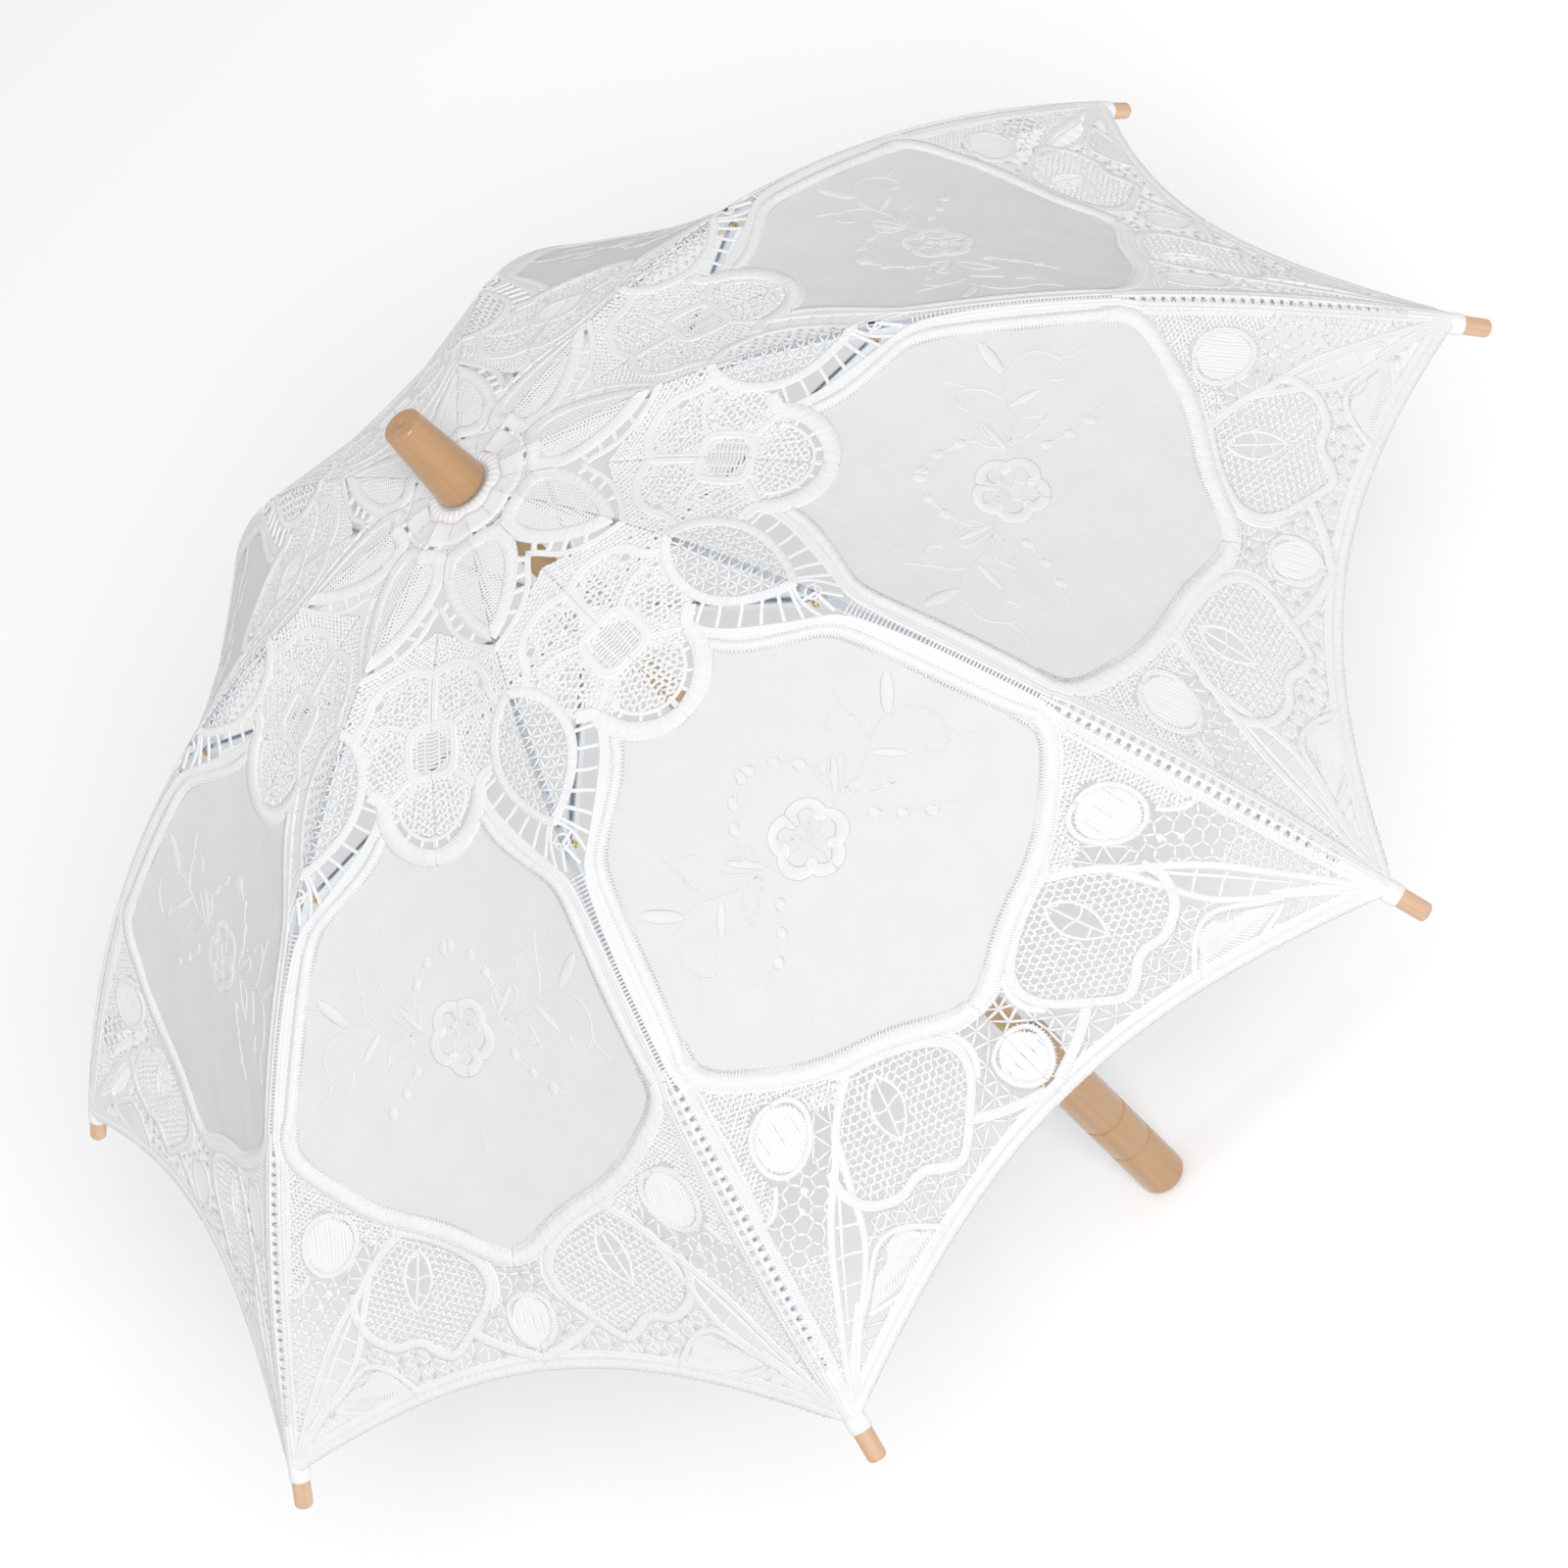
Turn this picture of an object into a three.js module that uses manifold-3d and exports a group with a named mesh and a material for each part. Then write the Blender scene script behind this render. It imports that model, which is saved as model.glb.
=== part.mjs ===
// A lace parasol, open: a wooden handle and shaft, a slotted crown and a sliding runner, and eight
// curved steel ribs with their stretchers, wooden rib tips and canopy gores.
// Units are millimetres. +Z runs up the shaft and the origin is the centre of the handle's flat end.
// Rib 1 points along +X, and the others follow every 45 degrees.
import * as THREE from "three";
import { mergeVertices } from "three/addons/utils/BufferGeometryUtils.js";
import Module from "manifold-3d";

const wasm = await Module();
wasm.setup();

// Driving dimensions.
const RIB_COUNT = 8;
const HALF_PANEL = Math.PI / RIB_COUNT;
const GAP = 0.3;

const HANDLE = { radius: 12.7, length: 150, endRound: 4, topRound: 5, socketDepth: 40 };
const HANDLE_GROOVE = { heights: [40, 68], depth: 0.9, halfWidth: 1.1 };
const SHAFT = { radius: 6, top: 640.7 };
const FERRULE = { baseRadius: 12.05, topRadius: 8.8, base: 619.3, top: 661.9, round: 1.8, boreTop: 641.3 };
const FERRULE_DIMPLE = { radius: 1.3, depth: 0.9 };

const CANOPY = { top: 619, drop: 198.4, radius: 378, power: 2.18, thickness: 0.6, inner: 18.6 };
const CANOPY_SAG = 0.049;
const HEM_RISE = 30.8;

const PIVOT_RADIUS = 12;
const CROWN = { pivot: 612, bottom: 604.5, top: 617.4, radius: 13.6 };
const RUNNER = { pivot: 530.8, flangeHalf: 5, bottom: 493, top: 538, radius: 13.6, sleeveRadius: 9.3 };
const RUNNER_BORE = 6.4;
const SLOT = { width: 2, root: 9.5 };
const WIRE = { radius: 0.7, grooveRoot: 11, grooveHalf: 1 };
const EYE = { radius: 2.2, hole: 0.9, thickness: 1.4 };

const CHANNEL = { width: 3.4, height: 3, wall: 0.8 };
const RIB_DEPTH = 2.3;
const RIB_TONGUE = 8;
const STRETCHER_TONGUE = 14;
const RIVET_POINT = { r: 178.2, z: 571.4 };
const STRETCHER_EAR = { radius: 2.4, webCutBack: 6.5 };
const CLIP = { thickness: 1.2, earRadius: 2.7, halfLength: 6, lift: 4.5 };
const RIVET = { barrel: 1.1, bore: 0.55, clearance: 0.2, head: 1.9, headThickness: 0.5 };
const TIP = { radius: 4, length: 16.6, endRound: 2.2 };

const CATCH = { hinge: 460, length: 32.7, nose: 7.5, thickness: 1.2, slotWidth: 1.8, inner: 2.4 };
const CATCH_RELIEF = { width: 2, radius: 7.9 };

const MATERIALS = {
  varnishedWood: { color: 0xc79a68, roughness: 0.35, metalness: 0 },
  plainWood: { color: 0xcfa888, roughness: 0.6, metalness: 0 },
  lace: { color: 0xf4f4f2, roughness: 0.95, metalness: 0 },
  steel: { color: 0xb9c2c9, roughness: 0.3, metalness: 1 },
  brass: { color: 0xc09a55, roughness: 0.3, metalness: 1 },
  plastic: { color: 0xeeeeea, roughness: 0.45, metalness: 0 },
};

function makeMesh(name, geometry, materialName) {
  const mesh = new THREE.Mesh(geometry, new THREE.MeshStandardMaterial(MATERIALS[materialName]));
  mesh.name = name;
  return mesh;
}

// Booleans.
function toSolid(geometry) {
  const bare = geometry.index ? geometry.toNonIndexed() : geometry.clone();
  bare.deleteAttribute("normal");
  bare.deleteAttribute("uv");
  const merged = mergeVertices(bare, 1e-4);
  const vertProperties = new Float32Array(merged.attributes.position.array);
  const triVerts = new Uint32Array(merged.index.array);
  return new wasm.Manifold(new wasm.Mesh({ numProp: 3, vertProperties, triVerts }));
}

function toGeometry(solid) {
  const { vertProperties, triVerts, numProp } = solid.getMesh();
  const positions = new Float32Array((vertProperties.length / numProp) * 3);
  for (let i = 0; i < positions.length / 3; i++) {
    positions.set(vertProperties.subarray(i * numProp, i * numProp + 3), i * 3);
  }
  const geometry = new THREE.BufferGeometry();
  geometry.setAttribute("position", new THREE.BufferAttribute(positions, 3));
  geometry.setIndex(new THREE.BufferAttribute(new Uint32Array(triVerts), 1));
  return geometry;
}

function join(...geometries) {
  return toGeometry(geometries.map(toSolid).reduce((all, next) => all.add(next)));
}

function cut(geometry, ...tools) {
  return toGeometry(tools.map(toSolid).reduce((left, tool) => left.subtract(tool), toSolid(geometry)));
}

// Turned pieces: a profile of [radius, z] points, closed on the axis or on itself, counted upwards
// along its outside.
function turned(profile, sides) {
  const points = profile.map(([r, z]) => new THREE.Vector2(r, z));
  return new THREE.LatheGeometry(points, sides).rotateX(Math.PI / 2);
}

// The quarter arc of a rounded corner, as [radius, z] points.
function cornerArc(r, z, round, from, to, steps) {
  return Array.from({ length: steps + 1 }, (_, i) => {
    const angle = from + ((to - from) * i) / steps;
    return [r + round * Math.cos(angle), z + round * Math.sin(angle)];
  });
}

// Flat pieces standing in the plane through the shaft: a Shape of (r, z) points, centred on y = 0.
function standing(shape, thickness) {
  const geometry = new THREE.ExtrudeGeometry(shape, { depth: thickness, bevelEnabled: false, curveSegments: 6 });
  return geometry.rotateX(Math.PI / 2).translate(0, thickness / 2, 0);
}

function shapeOf(points) {
  return new THREE.Shape(points.map(([r, z]) => new THREE.Vector2(r, z)));
}

function crossPin(r, z, radius, length, sides) {
  return new THREE.CylinderGeometry(radius, radius, length, sides).translate(r, 0, z);
}

// The canopy's outer surface above a rib: its height and the outward unit normal.
function canopyHeight(r) {
  return CANOPY.top - CANOPY.drop * Math.pow(r / CANOPY.radius, CANOPY.power);
}

function canopyNormal(r) {
  const slope = ((CANOPY.drop * CANOPY.power) / CANOPY.radius) * Math.pow(r / CANOPY.radius, CANOPY.power - 1);
  return new THREE.Vector2(slope, 1).normalize();
}

// A point below the canopy's outer surface, depth millimetres along its normal.
function underCanopy(r, depth) {
  const normal = canopyNormal(r);
  return [r - normal.x * depth, canopyHeight(r) - normal.y * depth];
}

function makeHandle() {
  const { radius, length, endRound, topRound, socketDepth } = HANDLE;
  const bore = SHAFT.radius + GAP;
  const grooves = HANDLE_GROOVE.heights.flatMap((z) => [
    [radius, z - HANDLE_GROOVE.halfWidth],
    [radius - HANDLE_GROOVE.depth, z - HANDLE_GROOVE.halfWidth * 0.4],
    [radius - HANDLE_GROOVE.depth, z + HANDLE_GROOVE.halfWidth * 0.4],
    [radius, z + HANDLE_GROOVE.halfWidth],
  ]);
  const profile = [
    [0, 0],
    ...cornerArc(radius - endRound, endRound, endRound, -Math.PI / 2, 0, 4),
    ...grooves,
    ...cornerArc(radius - topRound, length - topRound, topRound, 0, Math.PI / 2, 4),
    [bore, length],
    [bore, length - socketDepth],
    [0, length - socketDepth],
  ];
  return makeMesh("handle", turned(profile, 20), "varnishedWood");
}

function makeShaft() {
  const bottom = HANDLE.length - HANDLE.socketDepth + GAP;
  const rod = turned([[0, bottom], [SHAFT.radius, bottom], [SHAFT.radius, SHAFT.top], [0, SHAFT.top]], 20);
  const slotBottom = CATCH.hinge - 4;
  const slotTop = CATCH.hinge + CATCH.length + 3;
  const slotDepth = SHAFT.radius + 3;
  const slot = new THREE.BoxGeometry(slotDepth, CATCH.slotWidth, slotTop - slotBottom);
  slot.translate(SHAFT.radius - slotDepth / 2 + 0.5, 0, (slotTop + slotBottom) / 2).rotateZ(HALF_PANEL);
  return makeMesh("shaft", cut(rod, slot), "varnishedWood");
}

function makeFerrule() {
  const { baseRadius, topRadius, base, top, round, boreTop } = FERRULE;
  const bore = SHAFT.radius + GAP;
  const profile = [
    [bore, boreTop],
    [bore, base],
    [baseRadius - 0.8, base],
    [baseRadius, base + 1],
    ...cornerArc(topRadius - round, top - round, round, 0.15, Math.PI / 2, 4),
    [FERRULE_DIMPLE.radius, top],
    [0, top - FERRULE_DIMPLE.depth],
    [0, boreTop],
    [bore, boreTop],
  ];
  return makeMesh("ferrule", turned(profile, 20), "varnishedWood");
}

// The radial slots that the eyes of the ribs or stretchers stand in.
function radialSlots(bottom, top) {
  return Array.from({ length: RIB_COUNT }, (_, k) => {
    const slot = new THREE.BoxGeometry(10, SLOT.width, top - bottom + 2);
    return slot.translate(SLOT.root + 5, 0, (top + bottom) / 2).rotateZ((2 * Math.PI * k) / RIB_COUNT);
  });
}

function makeCrown() {
  const { bottom, top, radius, pivot } = CROWN;
  const bore = SHAFT.radius + GAP;
  const profile = [
    [bore, bottom],
    [radius, bottom],
    [radius, pivot - WIRE.grooveHalf],
    [WIRE.grooveRoot, pivot - WIRE.grooveHalf],
    [WIRE.grooveRoot, pivot + WIRE.grooveHalf],
    [radius, pivot + WIRE.grooveHalf],
    [radius, top - 1],
    [radius - 1, top],
    [bore, top],
    [bore, bottom],
  ];
  return makeMesh("crown", cut(turned(profile, 24), ...radialSlots(bottom, top)), "plastic");
}

function makeRunner() {
  const { bottom, top, radius, pivot, flangeHalf, sleeveRadius } = RUNNER;
  const profile = [
    [RUNNER_BORE, bottom],
    [sleeveRadius - 0.8, bottom],
    [sleeveRadius, bottom + 0.8],
    [sleeveRadius, pivot - flangeHalf],
    [radius, pivot - flangeHalf],
    [radius, pivot - WIRE.grooveHalf],
    [WIRE.grooveRoot, pivot - WIRE.grooveHalf],
    [WIRE.grooveRoot, pivot + WIRE.grooveHalf],
    [radius, pivot + WIRE.grooveHalf],
    [radius, pivot + flangeHalf],
    [sleeveRadius, pivot + flangeHalf],
    [sleeveRadius - 0.8, top],
    [RUNNER_BORE, top],
    [RUNNER_BORE, bottom],
  ];
  const relief = new THREE.BoxGeometry(CATCH_RELIEF.radius, CATCH_RELIEF.width, top - bottom + 2);
  relief.translate(CATCH_RELIEF.radius / 2, 0, (top + bottom) / 2).rotateZ(HALF_PANEL);
  const slots = radialSlots(pivot - flangeHalf, pivot + flangeHalf);
  return makeMesh("runner", cut(turned(profile, 24), relief, ...slots), "plastic");
}

// The ring of wire that the eyes turn on.
function makeWire(name, z) {
  const ring = new THREE.TorusGeometry(PIVOT_RADIUS, WIRE.radius, 6, 32).translate(0, 0, z);
  return makeMesh(name, ring, "steel");
}

// The eye at a pivot, with a straight tongue leading towards a target point.
function eyeWithTongue(pivot, target, length) {
  const angle = Math.atan2(target.z - pivot.z, target.r - pivot.r);
  const half = CHANNEL.height / 2 - 0.15;
  const tongue = new THREE.BoxGeometry(length, EYE.thickness, 2 * half);
  tongue.translate(length / 2 + 0.5, 0, 0).rotateY(-angle).translate(pivot.r, 0, pivot.z);
  const disc = crossPin(pivot.r, pivot.z, EYE.radius, EYE.thickness, 12);
  const hole = crossPin(pivot.r, pivot.z, EYE.hole, EYE.thickness + 2, 10);
  return cut(join(disc, tongue), hole);
}

// A curved channel under the canopy, open downwards, with its eye at the crown.
function makeRib(name) {
  const start = PIVOT_RADIUS + RIB_TONGUE;
  const steps = 13;
  const radii = Array.from({ length: steps + 1 }, (_, i) => start + ((CANOPY.radius - start) * i) / steps);
  const line = (depth) => radii.map((r) => underCanopy(r, RIB_DEPTH + depth));
  const belowEnd = underCanopy(CANOPY.radius, RIB_DEPTH + CHANNEL.height + 1);
  const belowStart = underCanopy(start, RIB_DEPTH + CHANNEL.height + 1);
  const solidBar = standing(shapeOf([...line(0), ...line(CHANNEL.height).reverse()]), CHANNEL.width);
  const hollow = standing(
    shapeOf([...line(CHANNEL.wall), belowEnd, belowStart]),
    CHANNEL.width - 2 * CHANNEL.wall,
  );
  const [r, z] = underCanopy(start, RIB_DEPTH + CHANNEL.height / 2);
  const eye = eyeWithTongue({ r: PIVOT_RADIUS, z: CROWN.pivot }, { r, z }, RIB_TONGUE + 2);
  return makeMesh(name, join(cut(solidBar, hollow), eye), "steel");
}

function makeStretcher(name) {
  const from = new THREE.Vector2(PIVOT_RADIUS, RUNNER.pivot);
  const to = new THREE.Vector2(RIVET_POINT.r, RIVET_POINT.z);
  const along = to.clone().sub(from).normalize();
  const length = from.distanceTo(to);
  const half = CHANNEL.height / 2;
  const at = (distance, height) => [
    from.x + along.x * distance - along.y * height,
    from.y + along.y * distance + along.x * height,
  ];
  const start = STRETCHER_TONGUE - 3;
  const webEnd = length - STRETCHER_EAR.webCutBack;
  const earAngle = Math.PI - Math.asin(half / STRETCHER_EAR.radius);
  const earArc = cornerArc(length, 0, STRETCHER_EAR.radius, -earAngle, earAngle, 8);
  const outline = [at(start, -half), ...earArc.map(([d, h]) => at(d, h)), at(start, half)];
  const floor = CHANNEL.wall - half;
  const hollow = [
    at(start + 4, floor),
    at(webEnd, floor),
    at(webEnd, -half - 2),
    at(length + 5, -half - 2),
    at(length + 5, half + 2),
    at(start + 4, half + 2),
  ];
  const bar = cut(
    standing(shapeOf(outline), CHANNEL.width),
    standing(shapeOf(hollow), CHANNEL.width - 2 * CHANNEL.wall),
    crossPin(to.x, to.y, RIVET.barrel + RIVET.clearance, CHANNEL.width + 2, 10),
  );
  const eye = eyeWithTongue({ r: from.x, z: from.y }, { r: to.x, z: to.y }, STRETCHER_TONGUE);
  return makeMesh(name, join(bar, eye), "steel");
}

// The ear that hangs from inside the rib's channel and carries the stretcher's rivet.
function makeClip(name) {
  const slope = Math.atan2(canopyNormal(RIVET_POINT.r).x, canopyNormal(RIVET_POINT.r).y);
  const along = [Math.cos(slope), -Math.sin(slope)];
  const up = [Math.sin(slope), Math.cos(slope)];
  const at = (distance, height) => [
    RIVET_POINT.r + along[0] * distance + up[0] * height,
    RIVET_POINT.z + along[1] * distance + up[1] * height,
  ];
  const { halfLength, lift, earRadius, thickness } = CLIP;
  const trunk = [
    at(-earRadius * 0.9, 0),
    at(earRadius * 0.9, 0),
    at(earRadius, lift - 2),
    at(halfLength, lift - 1.6),
    at(halfLength, lift),
    at(-halfLength, lift),
    at(-halfLength, lift - 1.6),
    at(-earRadius, lift - 2),
  ];
  const ear = crossPin(RIVET_POINT.r, RIVET_POINT.z, earRadius, thickness, 14);
  const hole = crossPin(RIVET_POINT.r, RIVET_POINT.z, RIVET.barrel + RIVET.clearance, thickness + 2, 10);
  return makeMesh(name, cut(join(standing(shapeOf(trunk), thickness), ear), hole), "steel");
}

function makeRivet(name) {
  const halfGrip = CHANNEL.width / 2 + 0.1;
  const profile = [
    [RIVET.bore, -halfGrip - RIVET.headThickness],
    [RIVET.head, -halfGrip - RIVET.headThickness * 0.6],
    [RIVET.head, -halfGrip],
    [RIVET.barrel, -halfGrip],
    [RIVET.barrel, halfGrip],
    [RIVET.head, halfGrip],
    [RIVET.head, halfGrip + RIVET.headThickness * 0.6],
    [RIVET.bore, halfGrip + RIVET.headThickness],
    [RIVET.bore, -halfGrip - RIVET.headThickness],
  ];
  const geometry = turned(profile, 10).rotateX(-Math.PI / 2);
  const mesh = makeMesh(name, geometry, "brass");
  mesh.position.set(RIVET_POINT.r, 0, RIVET_POINT.z);
  return mesh;
}

function makeTip(name) {
  const { radius, length, endRound } = TIP;
  const profile = [
    [0, 0],
    [radius - 0.6, 0],
    [radius, 0.8],
    ...cornerArc(radius - endRound, length - endRound, endRound, 0, Math.PI / 2, 3),
    [0, length],
  ];
  const [r, z] = underCanopy(CANOPY.radius, RIB_DEPTH + CHANNEL.height / 2);
  const normal = canopyNormal(CANOPY.radius);
  const mesh = makeMesh(name, turned(profile, 12), "plainWood");
  mesh.position.set(r + normal.y * GAP, 0, z - normal.x * GAP);
  mesh.rotation.y = Math.PI / 2 + Math.atan2(normal.x, normal.y);
  return mesh;
}

// A point of a gore: r along the rib, and side from -1 to 1 between the two seams beside the rib.
function gorePoint(r, side, depth) {
  const across = Math.abs(side) * (r * Math.sin(HALF_PANEL) - GAP / 2);
  const bow = 1 - Math.pow(1 - Math.abs(side), 2);
  const sag = CANOPY_SAG * r * bow;
  return new THREE.Vector3(
    r - across * Math.sin(HALF_PANEL),
    Math.sign(side) * across * Math.cos(HALF_PANEL),
    canopyHeight(r) - sag - depth,
  );
}

// The hem sweeps up between the rib tips.
function hemRadius(side) {
  return CANOPY.radius - HEM_RISE * (1 - Math.pow(1 - Math.abs(side), 2));
}

function makeGore(name) {
  const rows = 10;
  const columns = 6;
  const layers = [0, CANOPY.thickness];
  const positions = [];
  for (const depth of layers) {
    for (let i = 0; i <= rows; i++) {
      for (let j = 0; j <= columns; j++) {
        const side = (2 * j) / columns - 1;
        const r = CANOPY.inner + ((hemRadius(side) - CANOPY.inner) * i) / rows;
        positions.push(...gorePoint(r, side, depth).toArray());
      }
    }
  }
  const at = (layer, i, j) => layer * (rows + 1) * (columns + 1) + i * (columns + 1) + j;
  const index = [];
  const quad = (a, b, c, d) => index.push(a, b, c, a, c, d);
  for (let i = 0; i < rows; i++) {
    for (let j = 0; j < columns; j++) {
      quad(at(0, i, j), at(0, i + 1, j), at(0, i + 1, j + 1), at(0, i, j + 1));
      quad(at(1, i, j), at(1, i, j + 1), at(1, i + 1, j + 1), at(1, i + 1, j));
    }
  }
  for (let i = 0; i < rows; i++) {
    quad(at(0, i, 0), at(1, i, 0), at(1, i + 1, 0), at(0, i + 1, 0));
    quad(at(0, i, columns), at(0, i + 1, columns), at(1, i + 1, columns), at(1, i, columns));
  }
  for (let j = 0; j < columns; j++) {
    quad(at(0, 0, j), at(0, 0, j + 1), at(1, 0, j + 1), at(1, 0, j));
    quad(at(0, rows, j), at(1, rows, j), at(1, rows, j + 1), at(0, rows, j + 1));
  }
  const geometry = new THREE.BufferGeometry();
  geometry.setAttribute("position", new THREE.Float32BufferAttribute(positions, 3));
  geometry.setIndex(index);
  return makeMesh(name, geometry, "lace");
}

// The gathered ring of lace that the ferrule clamps.
function makeTopRing() {
  const outer = CANOPY.inner * Math.cos(HALF_PANEL) - GAP;
  const inner = SHAFT.radius + 2 * GAP;
  const bottom = CANOPY.top - CANOPY.thickness - 0.1;
  const top = CANOPY.top - 0.1;
  const profile = [[inner, bottom], [outer, bottom], [outer, top], [inner, top], [inner, bottom]];
  return makeMesh("canopy_top_ring", turned(profile, 32), "lace");
}

// The sprung catch in the shaft's slot, whose nose stands out just under the open runner.
function makeTopCatch() {
  const { hinge, length, nose, thickness, inner } = CATCH;
  const top = hinge + length;
  const outline = [
    [inner, hinge - 2],
    [SHAFT.radius - 0.8, hinge - 2],
    [SHAFT.radius - 0.8, top - 12],
    [nose, top - 2.5],
    [nose, top],
    [inner, top],
  ];
  const mesh = makeMesh("top_catch", standing(shapeOf(outline), thickness), "steel");
  mesh.rotation.z = HALF_PANEL;
  return mesh;
}

const parasol = new THREE.Group();
parasol.add(makeHandle(), makeShaft(), makeFerrule(), makeTopRing());
parasol.add(makeCrown(), makeWire("crown_wire", CROWN.pivot));
parasol.add(makeRunner(), makeWire("runner_wire", RUNNER.pivot), makeTopCatch());

for (let k = 0; k < RIB_COUNT; k++) {
  const number = k + 1;
  const arm = new THREE.Group();
  arm.rotation.z = (2 * Math.PI * k) / RIB_COUNT;
  arm.add(makeRib(`rib_${number}`), makeTip(`rib_tip_${number}`), makeGore(`canopy_gore_${number}`));
  arm.add(makeClip(`rib_clip_${number}`), makeStretcher(`stretcher_${number}`));
  arm.add(makeRivet(`rivet_${number}`));
  parasol.add(arm);
}

export default parasol;
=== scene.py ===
"""A lace parasol: cotton panels in hand-made tape lace, on ribs, a wood shaft and a turned handle."""
import math

import bpy
import numpy as np
from mathutils import Matrix, Vector


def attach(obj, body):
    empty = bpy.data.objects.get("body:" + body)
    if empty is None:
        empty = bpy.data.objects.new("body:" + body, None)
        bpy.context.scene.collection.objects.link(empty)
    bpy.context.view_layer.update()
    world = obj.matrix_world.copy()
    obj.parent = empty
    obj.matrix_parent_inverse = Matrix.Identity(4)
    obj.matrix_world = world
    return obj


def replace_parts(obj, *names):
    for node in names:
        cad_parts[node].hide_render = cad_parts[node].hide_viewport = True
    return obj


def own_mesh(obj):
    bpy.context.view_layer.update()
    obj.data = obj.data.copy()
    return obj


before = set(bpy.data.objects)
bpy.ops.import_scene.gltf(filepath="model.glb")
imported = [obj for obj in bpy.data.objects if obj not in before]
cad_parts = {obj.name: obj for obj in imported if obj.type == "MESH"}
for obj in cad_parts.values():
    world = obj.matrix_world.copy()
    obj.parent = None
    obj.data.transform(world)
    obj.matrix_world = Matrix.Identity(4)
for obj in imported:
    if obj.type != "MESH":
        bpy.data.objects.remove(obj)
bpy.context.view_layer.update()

MM = 0.001
RIBS = 8
SECTOR = math.pi / RIBS
SIN, COS = math.sin(SECTOR), math.cos(SECTOR)
rng = np.random.default_rng(7)

# -------- camera, lights, floor
CAMERA_TARGET = Vector((0.108, -0.237, 0.597))
CAMERA_DISTANCE = 1.3
SENSOR_WIDTH = 36
AZIMUTH, ELEVATION, ROLL = math.radians(-66.75), math.radians(39.95), math.radians(45.35)
LENS_PER_WIDTH = 2.254

camera_data = bpy.data.cameras.new("camera")
camera = bpy.data.objects.new("camera", camera_data)
bpy.context.scene.collection.objects.link(camera)
across, aloft = math.cos(ELEVATION), math.sin(ELEVATION)
back = Vector((across * math.cos(AZIMUTH), across * math.sin(AZIMUTH), aloft))
level = Vector((-math.sin(AZIMUTH), math.cos(AZIMUTH), 0))
upright = back.cross(level)
right = math.cos(ROLL) * level - math.sin(ROLL) * upright
up = back.cross(right)
turn = Matrix((right, up, back)).transposed().to_4x4()
camera_place = CAMERA_TARGET + CAMERA_DISTANCE * back
camera.matrix_world = Matrix.Translation(camera_place) @ turn
camera_data.sensor_width = SENSOR_WIDTH
camera_data.lens = SENSOR_WIDTH * LENS_PER_WIDTH
camera_data.clip_end = 50
bpy.context.scene.camera = camera


def material(name):
    """A new material, its node tree and its shader."""
    made = bpy.data.materials.new(name)
    made.use_nodes = True
    tree = made.node_tree
    shader = tree.nodes["Principled BSDF"]
    return made, tree, shader


def node(tree, kind, **values):
    """A node with its inputs and properties set by name."""
    made = tree.nodes.new(kind)
    for key, value in values.items():
        if hasattr(made, key):
            setattr(made, key, value)
        else:
            made.inputs[key.replace("_", " ")].default_value = value
    return made


def distant_light(name, toward, softness, strength):
    """A large soft lamp far away, shining from the direction given."""
    data = bpy.data.lights.new(name, "SUN")
    data.angle = softness
    data.energy = strength
    lamp = bpy.data.objects.new(name, data)
    bpy.context.scene.collection.objects.link(lamp)
    lamp.rotation_euler = (-Vector(toward)).to_track_quat("-Z", "Y").to_euler()


WORLD_STRENGTH = 0.66
KEY_ENERGY, KEY_SIZE, KEY_ABOVE_CAMERA = 6.4, 0.6, 0.06
FLOOR_REACH, FLOOR_GAP = 8, 0.0006
FLOOR_WHITE = (0.96, 0.96, 0.96, 1)

world = bpy.data.worlds.new("studio")
world.use_nodes = True
world.node_tree.nodes["Background"].inputs["Color"].default_value = (1, 1, 1, 1)
world.node_tree.nodes["Background"].inputs["Strength"].default_value = WORLD_STRENGTH
bpy.context.scene.world = world
bpy.context.scene.view_settings.view_transform = "Standard"
key_data = bpy.data.lights.new("key", "AREA")
key_data.shape, key_data.size, key_data.energy = "DISK", KEY_SIZE, KEY_ENERGY
key_data.use_nodes = True
key_tree = key_data.node_tree
falloff = node(key_tree, "ShaderNodeLightFalloff", Strength=1.0)
key_tree.links.new(falloff.outputs["Constant"], key_tree.nodes["Emission"].inputs["Strength"])
key = bpy.data.objects.new("key", key_data)
bpy.context.scene.collection.objects.link(key)
key.matrix_world = Matrix.Translation(camera_place + KEY_ABOVE_CAMERA * up) @ turn
distant_light("side", (-0.85, -0.25, 0.55), 0.20, 0.22)

floor_mesh = bpy.data.meshes.new("floor")
floor_mesh.from_pydata(
    [(x * FLOOR_REACH, y * FLOOR_REACH, 0) for x, y in ((-1, -1), (1, -1), (1, 1), (-1, 1))],
    [], [(0, 1, 2, 3)])
floor = bpy.data.objects.new("floor", floor_mesh)
floor.location.z = -FLOOR_GAP
bpy.context.scene.collection.objects.link(floor)
paper, tree, shader = material("paper")
shader.inputs["Base Color"].default_value = FLOOR_WHITE
shader.inputs["Roughness"].default_value = 1
shader.inputs["Specular IOR Level"].default_value = 0
floor_mesh.materials.append(paper)

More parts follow.
